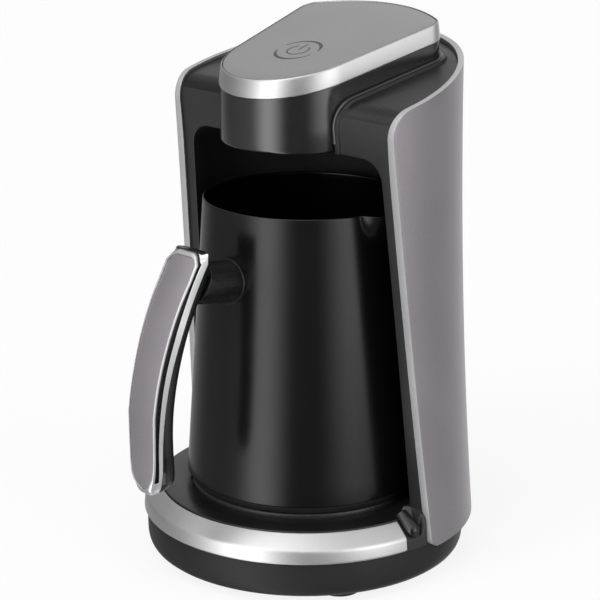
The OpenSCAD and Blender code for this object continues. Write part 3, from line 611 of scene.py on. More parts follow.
def sidePath(p, inset=0.0, corner=0.0):
    # the column's side view as (y, height) points: foot, leaning face, round shoulder and sloping top
    low, lean, slope = p["footHeight"], p["faceLean"], p["topSlope"]
    top = p["topHeight"] - inset
    y = (p["faceY"] + inset - lean * top) / (1 + lean * slope)
    knee = np.array([y, top + slope * y])
    down = np.array([lean, -1]) / math.hypot(lean, 1)
    back = np.array([1, slope]) / math.hypot(1, slope)
    half = math.acos(float(down @ back)) / 2
    r = p["shoulder"] - inset
    centre = knee + (down + back) / np.linalg.norm(down + back) * r / math.sin(half)
    first, last = knee + down * r / math.tan(half), knee + back * r / math.tan(half)
    a0 = math.atan2(*(first - centre)[::-1]) % (2 * math.pi)
    a1 = math.atan2(*(last - centre)[::-1]) % (2 * math.pi)
    angles = np.linspace(a0, a1, p["shoulderRows"] + 1)
    arc = [centre + r * np.array([math.cos(a), math.sin(a)]) for a in angles]
    foot = np.array([p["faceY"] + inset - lean * low, low])
    start = [foot]
    if corner:
        c = foot + np.array([corner, corner])
        turns = np.linspace(0, math.radians(p["footArc"]), p["footRows"])
        start = [c + corner * np.array([-math.sin(t), -math.cos(t)]) for t in turns]
    straight = [start[-1] + (first - start[-1]) * t for t in np.linspace(0, 1, p["faceRows"] + 1)[1:-1]]
    return start, straight, arc


def panelRows(p):  # the side path's points, each with the slope at which its row rises towards the back
    start, straight, arc = sidePath(p, corner=p["footCorner"])
    slopes = np.concatenate([[0.0] * len(start), np.linspace(0, p["shoulderSlope"], len(straight) + 1)[1:],
        np.linspace(p["shoulderSlope"], p["topSlope"], len(arc))])
    return [(slope, y, z) for slope, (y, z) in zip(slopes, start + straight + arc)]


panelInputs = {"Waist Radius": "waistRadius", "Foot Radius": "footRadius", "Waist Height": "waistHeight",
    "Foot Height": "footHeight", "Thickness": "thickness", "Thinning": "thinning", "Thin From": "thinFrom",
    "Thin To": "thinTo", "Weld": "weld"}


def panelTree(rowCount):
    # a sheet with one row for each point of the side path, turned to a waisted wall and given its inner face
    tree, m, given = newTree("waistedPanel", {"Path": "Object", "Columns": "Int",
        **{name: "Float" for name in panelInputs}, "Finish": "Material"})

    def store(shape, name, value, **more):
        return m.make("GeometryNodeStoreNamedAttribute", {"data_type": "FLOAT", "domain": "POINT"},
            {"Geometry": shape, "Name": name, "Value": value, **more})

    waist, foot = given.of("Waist Radius"), given.of("Foot Radius")
    high, low = given.of("Waist Height"), given.of("Foot Height")
    grid = m.make("GeometryNodeMeshGrid", None,
        {"Size X": 1.0, "Size Y": 1.0, "Vertices X": given.of("Columns"), "Vertices Y": rowCount})
    place = m.make("GeometryNodeInputPosition")
    parts = m.make("ShaderNodeSeparateXYZ", None, {"Vector": place})
    rowed = store(store(grid, "across", parts.of("X") * 2.0), "row", (parts.of("Y") + 0.5) * (rowCount - 1))
    sheet = store(rowed, "inner", 0.0)
    shell = m.make("GeometryNodeExtrudeMesh", {"mode": "FACES"},
        {"Mesh": sheet, "Offset Scale": 0.0, "Individual": False})
    inner = store(shell, "inner", 1.0, Selection=shell.of("Top"))
    turned = m.make("GeometryNodeFlipFaces", None, {"Mesh": sheet})
    both = m.make("GeometryNodeJoinGeometry", None, {"Geometry": turned})
    m.tree.links.new(inner.socket, both.socket.node.inputs["Geometry"])
    named = lambda name: m.make("GeometryNodeInputNamedAttribute", {"data_type": "FLOAT"}, {"Name": name})
    row = m.make("FunctionNodeFloatToInt", {"rounding_mode": "ROUND"}, {"Float": named("row")})
    point = m.make("GeometryNodeSampleIndex", {"data_type": "FLOAT_VECTOR", "domain": "POINT"},
        {"Geometry": heldShape(m, given, "Path"), "Value": place, "Index": row})
    sample = m.make("ShaderNodeSeparateXYZ", None, {"Vector": point})
    slope, edgeY, edgeZ = sample.of("X"), sample.of("Y"), sample.of("Z")
    inner = named("inner")

    def radius(z):
        thinned = given.of("Thinning") * z.step(given.of("Thin From"), given.of("Thin To"))
        outside = waist + (foot - waist) * ((high - z) / (high - low)) ** 2.0
        return outside - (given.of("Thickness") - thinned) * inner

    turn = m.maths("ARCCOSINE", edgeY / radius(edgeZ)) * named("across")
    towardsBack = m.maths("COSINE", turn)
    z = edgeZ
    for _ in range(3):  # the row rises towards the back, and the wall's radius with it
        z = edgeZ + slope * (radius(z) * towardsBack - edgeY)
    placed = m.make("ShaderNodeCombineXYZ", None, {"X": radius(z) * m.maths("SINE", turn),
        "Y": radius(z) * towardsBack, "Z": z})
    shaped = m.make("GeometryNodeSetPosition", None, {"Geometry": both, "Position": placed})
    merged = m.make("GeometryNodeMergeByDistance", None, {"Geometry": shaped, "Distance": given.of("Weld")})
    endTree(m, merged, given.of("Finish"))
    return tree


def paintRimHighlightAndShade(piece, p, k=rimPaint):
    # the panel's edge: a lighter finish on its face, a painted highlight, and black on the inner rounding that
    # meets the frame, a painted shade
    for name in ("panelEdge", "blackSatin"):
        piece.data.materials.append(finishes[name])
    for face in piece.data.polygons:
        x, y, z = face.center / mm
        y -= axisY / mm
        away = math.hypot(x, y)
        wall, thickness = panelRadius(z), p["thickness"] - panelThinning(z)
        outwards = (face.normal.x * x + face.normal.y * y) / away
        onWall = away > wall - k["inGap"] and outwards > k["outwards"] \
            or away < wall - thickness + k["inGap"] and outwards < k["inwards"]
        # the inner rounding takes black satin: painted shade along the frame
        paintedShade = away < wall - thickness + p["rounding"] and outwards < k["turned"] and z > k["from"]
        face.material_index = 0 if onWall else 2 if paintedShade else 1


def makePanel(p):
    rows = panelRows(p)
    path = bpy.data.objects.new("panelPath", newMesh("panelPath", rows, []))
    piece = runTree("wrapPanel", panelTree(len(rows)), {"Path": path, "Columns": p["columns"],
        "Finish": finishes["greyMetallic"], **{name: p[key] for name, key in panelInputs.items()}})
    for name in ("across", "row", "inner"):
        piece.data.attributes.remove(piece.data.attributes[name])
    dressPiece(piece, "greyMetallic", "root", ["wrap_panel"], "grey_metallic", bevel=p["rounding"], segments=4)
    paintRimHighlightAndShade(piece, p)
    bpy.data.objects.remove(path)


makePanel(panel)
print("wrap panel made")


# the head: its plan, housing and band
plan = {"noseRadius": 28.0, "noseY": 5.2, "rearHalf": 34.7, "rearY": 34.0, "rearCorner": 6.0,
    "rearMiddle": 47.5, "noseSteps": 72, "sideSteps": 16, "cornerSteps": 14, "rearSteps": 30}
head = {"low": 169.0, "lowerRounding": 1.3, "bandLow": 197.6, "top": 204.4, "slope": 0.24, "wall": 1.2,
    "wallThickness": 2.2, "wallRows": (0.35, 0.7, 1.0), "gap": 0.1, "plateThickness": 2.0}
band = {"foot": 1.6, "footRounding": 0.35, "top": 0.75, "rounding": 0.8, "lip": (0.18, 0.12),
    "lipRounding": 0.08, "lipHeight": 0.12, "inner": -1.9, "rebate": 0.5}


def planCurve(p):
    # the head seen from above, as points and outward directions, the same count for every offset
    cornerX = p["rearHalf"] - p["rearCorner"]
    reach = math.hypot(cornerX, p["rearY"] + p["noseY"])
    flank = math.degrees(math.atan2(p["rearY"] + p["noseY"], cornerX)) \
        - math.degrees(math.acos((p["noseRadius"] - p["rearCorner"]) / reach))
    sag = p["rearMiddle"] - p["rearY"]
    rearR = (cornerX ** 2 + sag ** 2 - p["rearCorner"] ** 2) / (2 * (sag - p["rearCorner"]))
    rearC = p["rearMiddle"] - rearR
    turn = math.degrees(math.atan2(p["rearY"] - rearC, cornerX))
    points, outward = [], []

    def sweep(cx, cy, r, a, b, n, first=0):
        for i in range(first, n + 1):
            t = math.radians(a + (b - a) * i / n)
            points.append((cx + r * math.cos(t), cy + r * math.sin(t)))
            outward.append((math.cos(t), math.sin(t)))

    def side(toX, toY, n):
        x, y = points[-1]
        for i in range(1, n):
            points.append((x + (toX - x) * i / n, y + (toY - y) * i / n))
            outward.append(outward[-1])

    sweep(0, -p["noseY"], p["noseRadius"], -180 - flank, flank, p["noseSteps"])
    c = math.radians(flank)
    side(cornerX + p["rearCorner"] * math.cos(c), p["rearY"] + p["rearCorner"] * math.sin(c), p["sideSteps"])
    sweep(cornerX, p["rearY"], p["rearCorner"], flank, turn, p["cornerSteps"])
    sweep(0, rearC, rearR, turn, 180 - turn, p["rearSteps"], 1)
    sweep(-cornerX, p["rearY"], p["rearCorner"], 180 - turn, 180 - flank, p["cornerSteps"], 1)
    side(-p["noseRadius"] * math.cos(c), -p["noseY"] + p["noseRadius"] * math.sin(c), p["sideSteps"])
    return np.array(points), np.array(outward)


planPoints, planOutward = planCurve(plan)


def planRing(grow, height, slope=0.0):
    flat = planPoints + planOutward * grow
    return np.column_stack([flat, height + slope * flat[:, 1]])


def addPlanShell(name, rings, finish, **more):
    addPiece(name, np.concatenate(rings), ringFaces(len(planPoints), len(rings)), finish, "root", **more)


def makeHousing(h):
    r, grow, slope = h["lowerRounding"], h["wall"], h["slope"]
    rings = [planRing(grow - r * (1 - math.sin(t)), h["low"] + r * (1 - math.cos(t)))
        for t in np.linspace(0, math.pi / 2, 6)]
    top = h["bandLow"] - h["gap"]
    low, high = rings[-1], planRing(grow, top, slope)
    rings += [low + (high - low) * t for t in h["wallRows"]]
    rings += [planRing(grow - h["wallThickness"], top, slope), planRing(grow - h["wallThickness"], h["low"])]
    addPlanShell("headHousing", rings, "blackGloss", replaced=["head_housing"], slot="black_gloss", sharp=50)


def makeBand(h, b):
    # the bright band: leaning side, soft upper edge, and a narrow lip beside the plate
    low, high, seat = h["bandLow"], h["top"] + b["lipHeight"], h["top"] - h["plateThickness"] - h["gap"]
    section = roundProfile([(b["foot"], low), (b["top"], high), (b["lip"][0], high), (b["lip"][1], seat),
        (b["inner"], seat), (b["inner"], low + h["gap"]), (b["foot"] - b["rebate"], low)],
        [b["footRounding"], b["rounding"], b["lipRounding"], 0, 0, 0, 0])
    rings = [planRing(out, z, h["slope"]) for out, z in section]
    addPlanShell("headBand", rings, "brightChrome", replaced=["head_trim_ring"], slot="bright_chrome", sharp=50)


makeHousing(head)
makeBand(head, band)
print("head housing and band made")


# the base's ring and deck
base = {"ringSide": 65.6, "ringEdge": 65.1, "ringInner": 58.7, "ringFootZ": 17.9, "ringEdgeZ": 22.9,
    "ringSweep": 81.2, "ringSheet": 1.5, "ringLip": 1.95, "ringBend": (0.2, 0.75), "ringBack": 0.1,
    "ringFoot": 0.9, "ringRoundings": [0.35, 2.4, 0.3], "jointZ": 17.4, "deckRadius": 58.4, "deckZ": 28.3,
    "deckThickness": 2.0, "plateRadius": 45.8, "plateGap": 0.3, "deckRoundings": [0.6, 0.5]}


def makeRing(b):
    # sloping face and steep side of one sheet, with a narrow foot that stands on the base's joint
    back, foot = b["ringEdge"] - b["ringSheet"], b["ringSide"] - b["ringFoot"]
    inwards, down = b["ringBend"]
    section = roundProfile([(b["ringSide"], b["ringFootZ"]), (b["ringEdge"], b["ringEdgeZ"]),
        (b["ringInner"], b["deckZ"]), (b["ringInner"], b["deckZ"] - b["ringLip"]),
        (back - inwards, b["ringEdgeZ"] - down), (back + b["ringBack"], b["jointZ"]), (foot, b["jointZ"]),
        (foot, b["ringFootZ"])], b["ringRoundings"] + [0] * 5, 9)
    # the ring in the lighter chrome: painted highlight
    addLathe("baseRing", section, "ringChrome", "root", segments=200, start=270 - b["ringSweep"],
        sweep=2 * b["ringSweep"], replaced=["base_trim_ring"], slot="bright_chrome", sharp=50)


def makeDeck(b):
    r, z, t = b["deckRadius"], b["deckZ"], b["deckThickness"]
    inner, joint = b["plateRadius"] + b["plateGap"], b["jointZ"]
    section = roundProfile([(inner, z - t), (r - t, z - t), (r - t, joint), (r, joint), (r, z), (inner, z)],
        [0] * 4 + b["deckRoundings"], 4)
    # the base's deck in the darker black: painted shade
    addLathe("baseDeck", section, "deckBlack", "root", segments=180, replaced=["base_deck"], slot="black_gloss",
        sharp=50)


makeRing(base)
makeDeck(base)
print("base ring and deck made")


# the pot's wall, with its spout
pot = {"lowRadius": 47.7, "rimRadius": 40.2, "seamZ": 33.3, "height": 112.8, "wall": 1.1, "spoutReach": 7.5,
    "spoutRadius": 10.0, "spoutLean": 28.0, "spoutFrom": 0.5, "blend": 1.6, "rimRounding": 0.5,
    "lowRounding": 0.6, "spoutSide": 40, "fineFrom": 0.6}


def spoutSkin(p, angle, z, inward):
    # distance from the axis to the leaning spout's skin, or nothing where the ray misses it
    lean = math.radians(p["spoutLean"])
    top = p["rimRadius"] + p["spoutReach"] - p["spoutRadius"] / math.cos(lean)
    cx = top - (p["seamZ"] + p["height"] - z) * math.tan(lean)
    a, b = (p["spoutRadius"] - inward) / math.cos(lean), p["spoutRadius"] - inward
    u, v = math.cos(angle), math.sin(angle)
    qa = (u / a) ** 2 + (v / b) ** 2
    qb, qc = -2 * cx * u / a ** 2, (cx / a) ** 2 - 1
    root = qb * qb - 4 * qa * qc
    return (-qb + math.sqrt(root)) / (2 * qa) if root > 0 else 0.0


def potSkin(p, angle, z, inward=0.0):
    share = (z - p["seamZ"]) / p["height"]
    cone = p["lowRadius"] + (p["rimRadius"] - p["lowRadius"]) * share - inward
    spout = spoutSkin(p, angle, z, inward) if share > p["spoutFrom"] else 0.0
    k = p["blend"]
    h = max(k - abs(cone - spout), 0) / k
    return max(cone, spout) + h * h * k / 4


def makePot(p):
    # rings from the seam up the outside, over the rim and down the inside, finer at the spout and above
    side = p["spoutSide"]
    turns = [np.linspace(-side, side, 81), np.linspace(side, 360 - side, 141)[1:-1]]
    angles = np.radians(np.concatenate(turns))
    low, top, r, e = p["seamZ"], p["seamZ"] + p["height"], p["rimRounding"], p["lowRounding"]
    fine = low + p["fineFrom"] * p["height"]
    heights = np.concatenate([np.linspace(low, fine, 10), np.linspace(fine, top - r, 40)[1:]])
    rows = [[(potSkin(p, a, low) - e * (1 - math.sin(t)), low + e * (1 - math.cos(t))) for a in angles]
        for t in np.linspace(0, math.pi / 2, 5)[:-1]]
    rows += [[(potSkin(p, a, z), z) for a in angles] for z in [low + e] + list(heights[1:])]
    half, floor = p["wall"] / 2, low + p["wall"]
    rows += [[(potSkin(p, a, top - r) - half + half * math.cos(t), top - r + r * math.sin(t)) for a in angles]
        for t in np.linspace(0, math.pi, 7)[1:-1]]
    rows += [[(potSkin(p, a, max(z, floor), p["wall"]), max(z, floor)) for a in angles] for z in heights[::-1]]
    points = [(away * math.cos(a), away * math.sin(a), z) for row in rows for (away, z), a in zip(row, angles)]
    points, faces = closedTube(points, len(angles), (0, 0, low), (0, 0, floor))
    addPiece("potShell", points, faces, "potCoating", "jug", replaced=["pot_shell"],
        slot="non_stick_black", sharp=50)


makePot(pot)
print("pot made")


# the top plate, the power button and its mark
top = {"height": 204.4, "slope": 0.24, "thickness": 2.0, "edge": 0.35, "buttonRadius": 10.0, "buttonY": -4.0,
    "gap": 0.03, "outerGap": 0.05, "flange": 11.2, "flangeTop": -2.36, "flangeLow": -3.36, "stem": 2.4,
    "stemLow": -6.5, "stemChamfer": 0.4}
mark = {"radius": 8.9, "thin": 0.40, "thick": 1.35, "arcs": [(7, 160, 0.20), (192, 341, 0.30)],
    "swelling": 1.3, "symbolRadius": 4.4, "stroke": 0.62, "opening": (52, 122), "tick": (0.2, 3.1, 6.2),
    "proud": 0.03, "sunk": -0.1, "turn": 4}


def onTop(points):  # from (across, up the slope, above the plate) to the machine's axes
    tilt = math.atan(top["slope"])
    points = np.asarray(points, float)
    u, v, w = points.T
    return np.column_stack([u, top["buttonY"] + v * math.cos(tilt) - w * math.sin(tilt),
        top["height"] + top["slope"] * top["buttonY"] + v * math.sin(tilt) + w * math.cos(tilt)])


def makePlate(t):
    tilt = math.atan(t["slope"])
    turn = np.arctan2((planPoints[:, 1] - t["buttonY"]) / math.cos(tilt), planPoints[:, 0])
    low, high, e = t["height"] - t["thickness"], t["height"], t["edge"]
    hole, gap = t["buttonRadius"] + t["gap"], t["outerGap"]
    around = lambda w: onTop(np.column_stack([hole * np.cos(turn), hole * np.sin(turn), np.full(len(turn), w)]))
    rings = [planRing(-gap, low, t["slope"])]
    rings += [planRing(-gap - e * (1 - math.cos(a)), high - e * (1 - math.sin(a)), t["slope"])
        for a in np.linspace(0, math.pi / 2, 5)]
    edge, inner = rings[-1], around(0.0)
    rings += [edge * (1 - s) + inner * s for s in (0.33, 0.66, 1.0)] + [around(-t["thickness"])]
    addPlanShell("topPlate", rings, "greyPlate", replaced=["top_plate"], slot="grey_plate", sharp=35)


def makeButton(t):
    r, s, low, c = t["buttonRadius"], t["stem"], t["stemLow"], t["stemChamfer"]
    profile = [(0, low), (s - c, low), (s, low + c), (s, t["flangeLow"]), (t["flange"], t["flangeLow"]),
        (t["flange"], t["flangeTop"]), (s, t["flangeTop"]), (s, -t["thickness"]), (r, -t["thickness"])]
    points, faces = turnedSolid(profile + [(x, 0.0) for x in np.linspace(r, 0, 6)], 128)
    addPiece("powerButton", onTop(points), faces, "greyPlate", "button", replaced=["power_button"],
        slot="grey_plate", sharp=35)


def ribbon(points, widths, low, high):
    # a printed line: points along it, its width at each of them, and the heights of its sides over the button
    points, widths = np.asarray(points, float), np.asarray(widths, float)
    along = np.gradient(points, axis=0)
    along /= np.linalg.norm(along, axis=1)[:, None]
    side = np.column_stack([-along[:, 1], along[:, 0]]) * widths[:, None] / 2
    n = len(points)
    edges = ((1, high), (-1, high), (-1, low), (1, low))
    rows = [np.column_stack([points + k * side, np.full(n, z)]) for k, z in edges]
    ends = [tuple(j * n for j in range(4)), tuple(j * n + n - 1 for j in reversed(range(4)))]
    return np.concatenate(rows), ringFaces(n, 4, True, False) + ends


def makeMark(k):
    # two swelling arcs, and the power symbol between them: an open circle and a stroke
    def arc(r, a, b, n):
        return np.array([(r * math.cos(t), r * math.sin(t)) for t in np.radians(np.linspace(a, b, n))])

    lines = []
    for start, end, thickest in k["arcs"]:
        t = np.linspace(0, 1, 60)
        swell = np.sin(np.pi * np.interp(t, (0, thickest, 1), (0, 0.5, 1))) ** k["swelling"]
        lines.append((arc(k["radius"], start, end, 60), k["thin"] + (k["thick"] - k["thin"]) * swell))
    lines.append((arc(k["symbolRadius"], k["opening"][1], 360 + k["opening"][0], 48), [k["stroke"]] * 48))
    lines.append(([(0, y) for y in k["tick"]], [k["stroke"]] * 3))
    points, faces, start = [], [], 0
    c, s = math.cos(math.radians(k["turn"])), math.sin(math.radians(k["turn"]))
    for line, widths in lines:
        body, skin = ribbon(np.array(line) @ np.array([[c, s], [-s, c]]), widths, k["sunk"], k["proud"])
        points.append(body)
        faces += [tuple(i + start for i in face) for face in skin]
        start += len(body)
    points = onTop(np.concatenate(points))
    addPiece("powerMark", points, faces, "markInk", "button", slot="grey_plate", sharp=30)


makePlate(top)
makeButton(top)
makeMark(mark)
print("top plate, button and mark made")


# the handle: bright trim, grey insert and black core
# tables are (height, value) pairs, but "corner" counts its heights from the foot of the cut corners
handle = {"reach": 87.5, "bow": 119.9, "bowHeight": 62.8, "low": 44.0, "top": 135.7, "depth": 10.5,
    "backHalf": 8.0, "widest": 8.6, "leastShare": 0.06, "leastBand": 1.6, "frontRoom": 0.03,
    "halves": [(44, 5.9), (50, 6.2), (58, 6.8), (66, 7.0), (76, 7.15), (86, 7.25), (95, 7.4), (105, 7.7),
        (118, 8.0), (126, 8.2), (135.7, 8.1)],
    "fronts": [(44, -0.6), (66, -0.9), (80, -0.75), (95, -0.5), (105, -0.4), (118, -0.2), (126, 0.1),
        (135.7, -0.4)], "rimDepth": 0.95,
    "grooves": [(50, 2.6), (70, 2.6), (86, 2.6), (105, 2.7), (118, 2.4), (126, 2.0), (135.7, 1.8)],
    "bands": [(44, 4.3), (58, 4.7), (70, 4.9), (86, 5.2), (105, 5.6), (118, 5.4), (126, 5.2), (131.4, 4.9),
        (135.7, 2.4)],
    "flares": [(44, 0.02), (66, 0.03), (86, 0.07), (105, 0.14), (126, 0.20), (135.7, 0.20)],
    "grooveFrom": 50.6, "grooveDepth": 0.9, "noseRound": 3.6, "endRound": 13.0, "endPower": 2.3,
    "cornerHeight": 4.2, "mostEdge": 0.4, "leastStep": 0.02, "slant": 0.03,
    "corner": [(0, 0), (0.4, 0.12), (0.9, 0.5), (2.9, 2.2), (3.4, 2.75), (3.7, 3.3), (3.85, 3.9), (4.2, 5.0)],
    "cutFrom": 0.8, "cutGroove": 0.25, "edge": 0.28,
    "edgeArc": [(1, 0), (0.62, 0.076), (0.293, 0.293), (0.076, 0.62), (0, 1)], "lowEdge": 2.4,
    "lowEdgeFrom": 53, "lowEdgeOver": 6, "shoulder": 0.4, "sideEdge": 0.25,
    "rimWidths": [(44, 0.40), (105, 0.40), (120, 0.55), (135.7, 0.9)], "capHeight": 0.35}
insert = {"low": 47.6, "top": 133.9, "end": 11.5, "endPower": 2.2, "corner": 3.4, "pocket": 1.35, "sunk": 0.25,
    "crown": 0.85, "edge": 0.16, "gap": 0.06, "pocketGap": 0.05, "endGap": 0.15,
    "fromRim": 0.3, "endFall": 0.3}
core = {"low": 45.2, "round": 5.0, "lowShare": 0.65,
    "backs": [(44, 10.5), (122, 10.5), (126, 9.9), (129.5, 7.6), (132.5, 5.2), (135.7, 2.9)], "step": 0.3,
    "capFrom": 1.1, "capStep": 0.9, "overlap": 0.3, "backRound": 3.2, "lessRound": 1.2, "lessAt": 80,
    "lessOver": 30, "topEdge": 0.15, "topFall": 8, "leastDepth": 0.4, "fullFrom": 3.0, "mostOfDepth": 0.7,
    "mostOfWidth": 0.6}


def lookUp(pairs, z):
    heights, values = zip(*pairs)
    return float(np.interp(z, heights, values))


class HandleShape:
    # the handle's measures at height z: half widths, and depths behind the bow of its front
    def __init__(self, h):
        self.h = h

    def table(self, name, z):
        return lookUp(self.h[name], z)

    def y(self, depth, z):
        h = self.h
        return h["bow"] - h["reach"] - math.sqrt((h["bow"] - depth) ** 2 - (z - h["bowHeight"]) ** 2)

    def lower(self, z):  # how much of the width is left at the rounded lower end
        h = self.h
        up = (h["endRound"] - (z - h["low"])) / h["endRound"]
        return max(max(1 - up ** h["endPower"], 0.0) ** (1 / h["endPower"]), h["leastShare"]) if up > 0 else 1.0

    def half(self, z):
        return self.table("halves", z) * self.lower(z)

    def side(self, z, depth):  # half width of the band and the core
        start = self.front(z) + self.h["rimDepth"]
        flare = self.half(z) + self.table("flares", z) * max(depth - start, 0)
        back = self.h["backHalf"] * self.lower(z)
        share = ease((depth - self.bandEnd(z)) / (self.h["depth"] - self.bandEnd(z)))
        return min(flare * (1 - share) + back * share, self.h["widest"])

    def cornerCut(self, z):  # how far the trim's upper corners draw in
        return self.table("corner", z - (self.h["top"] - self.h["cornerHeight"]))

    def front(self, z):
        # the front face keeps behind the bow's foremost point, and turns back at its lower end
        h = self.h
        room = h["bow"] - math.sqrt(h["bow"] ** 2 - (z - h["bowHeight"]) ** 2)
        up = h["low"] + h["noseRound"] - z
        turn = h["noseRound"] - math.sqrt(h["noseRound"] ** 2 - min(up, h["noseRound"]) ** 2) if up > 0 else 0.0
        return max(self.table("fronts", z), h["frontRoom"] - room) + turn

    def rim(self, z):
        return self.half(z) - self.cornerCut(z)

    def insertHalf(self, z, k=insert):  # half width of the grey insert, with its round ends
        w = self.table("halves", z) - self.table("rimWidths", z)
        up, down, r = (k["end"] - (z - k["low"])) / k["end"], k["top"] - z, k["corner"]
        if up > 0:
            w *= max(1 - min(up, 1) ** k["endPower"], 0.0003) ** (1 / k["endPower"])
        if down < r:
            w -= r - math.sqrt(max(r * r - (r - max(down, 0)) ** 2, 0))
        return w

    def bandEnd(self, z):
        return max(self.table("bands", z), self.front(z) + self.h["leastBand"])

    def edge(self, z):  # the front's rounded edge, fuller at the lower end
        h = self.h
        return h["edge"] + h["lowEdge"] * ease((h["lowEdgeFrom"] - z) / h["lowEdgeOver"])


shape = HandleShape(handle)


def loft(name, rows, finish, slot, replaced, sharp, dark=()):
    # closed level sections of equal counts, from the lowest to the highest, as (x, depth, z); the strips of
    # faces that "dark" numbers are marked
    count = len(rows[0])
    points = settle([(x, shape.y(d, z), z) for row in rows for x, d, z in row])
    faces = ringFaces(count, len(rows), False)
    ends = [tuple(range(count))[::-1], tuple((len(rows) - 1) * count + i for i in range(count))]
    piece = newObject(name, newMesh(name, points, faces + ends))
    if dark:
        marks = piece.data.attributes.new("dark", "INT", "FACE")
        for index in range(len(faces)):
            marks.data[index].value = index % count in dark
    dressPiece(piece, finish, "jug", replaced, slot, sharp=sharp)
    return piece


def mirrored(half):  # the left half of a section, from its right half
    return [(-x, d, z) for x, d, z in reversed(half)]


def trimSection(h, z, pocket, groove):
    # the bright trim: rim round the insert, groove, and the band on the side, which the cut corners draw in
    w, f, cut = shape.rim(z), shape.front(z), ease(shape.cornerCut(z) / h["cutFrom"])
    r = min(shape.edge(z), w * h["mostEdge"])
    rimEnd, bandEnd = f + h["rimDepth"], shape.bandEnd(z)
    end = shape.table("grooves", z)
    if not groove and z < h["grooveFrom"]:
        end = max(rimEnd, f + shape.edge(z)) + h["shoulder"]
    shoulder = end + h["shoulder"]
    wide = shape.side(z, end)
    if groove:
        end = end * (1 - cut) + (rimEnd + h["cutGroove"]) * cut
        wide = shape.side(z, end)
        wide = wide * (1 - cut) + min(wide, w + h["grooveDepth"]) * cut
    deep = h["grooveDepth"] if groove else 0.0
    floor = f + (insert["pocket"] if pocket else 0.0)
    inner = min(shape.insertHalf(z) + insert["gap"] if pocket else w * 0.5, w - r - h["leastStep"])
    rimEnd = max(rimEnd, f + r + h["leastStep"])
    side, e = shape.side(z, bandEnd), h["sideEdge"]
    half = [(inner, floor), (inner, f)] + [(w - a * r, f + b * r) for a, b in h["edgeArc"]] + [(w, rimEnd),
        (w - deep, rimEnd + h["slant"]), (wide - deep, end - h["slant"]), (wide, end),
        (shape.side(z, shoulder), shoulder), (side, bandEnd - e), (side - e, bandEnd)]
    half = [(x, d, z) for x, d in half]
    return half + mirrored(half)


def makeTrim(h):
    low, top, start = h["low"], h["top"], h["grooveFrom"]
    heights = [low + rise for rise in (0.02, 0.12, 0.35, 0.8, 1.5, 2.4, 3.4)]
    heights += [z for z in np.linspace(low + 4.4, top - 5, 60) if abs(z - start) > 0.4]
    heights += list(np.linspace(top - 4.4, top - h["capHeight"], 14))
    gap = insert["endGap"]
    edges = {insert["low"] - gap: "pocket", insert["top"] + gap: "pocket", start: "groove"}
    state = {"pocket": False, "groove": False}
    rows = []
    for z in sorted(heights + list(edges)):
        rows.append(trimSection(h, z, **state))
        if z in edges:
            state[edges[z]] = not state[edges[z]]
            rows.append(trimSection(h, z, **state))
    grooves = {7, 8, 9, 17, 18, 19}  # the section's strips on both sides
    # the trim in the lighter chrome: painted highlight
    piece = loft("handleTrim", rows, "handleChrome", "bright_chrome", ["handle_trim"], 35, grooves)
    # the groove's strips above its start are painted black: partly the black core seen in the slot, partly
    # painted shade in the recess
    piece.data.materials.append(finishes["handleBlack"])
    marks = piece.data.attributes["dark"]
    for face in piece.data.polygons:
        lowest = min(piece.data.vertices[i].co.z for i in face.vertices) / mm
        face.material_index = 1 if marks.data[face.index].value and lowest > start - 0.1 else 0
    piece.data.attributes.remove(marks)


def makeInsert(k, h):
    # a slightly crowned bar, its edges and ends falling off softly
    low, high, sunk = k["low"], k["top"], k["sunk"]
    heights = [low + rise for rise in (0.0, 0.08, 0.25, 0.55, 1.0, 1.6, 2.4, 3.4, 4.6)]
    heights += list(np.linspace(low + 6, high - 3.2, 56))
    heights += [high - fall for fall in (2.8, 2.3, 1.8, 1.3, 0.9, 0.5, 0.25, 0.08, 0.0)]
    rows = []
    for z in heights:
        w, f = min(shape.insertHalf(z), shape.rim(z) - k["fromRim"]), shape.front(z)
        lift = k["edge"] * ease(1 - min(z - low, high - z) / k["endFall"])
        half = []
        for s in (0.0, 0.15, 0.3, 0.45, 0.6, 0.75, 0.88, 0.96, 0.985, 1.0):
            fall = k["edge"] * max(0, (s - 0.97) / 0.03) ** 2
            half.append((w * s, f + lift + (k["crown"] - sunk) * (w * s / h["backHalf"]) ** 2 + fall, z))
        half.append((w, f + k["pocket"] - k["pocketGap"], z))
        rows.append(half + mirrored(half[1:]))
    loft("handleInsert", rows, "handleInlay", "grey_metallic", ["handle_insert"], 40)


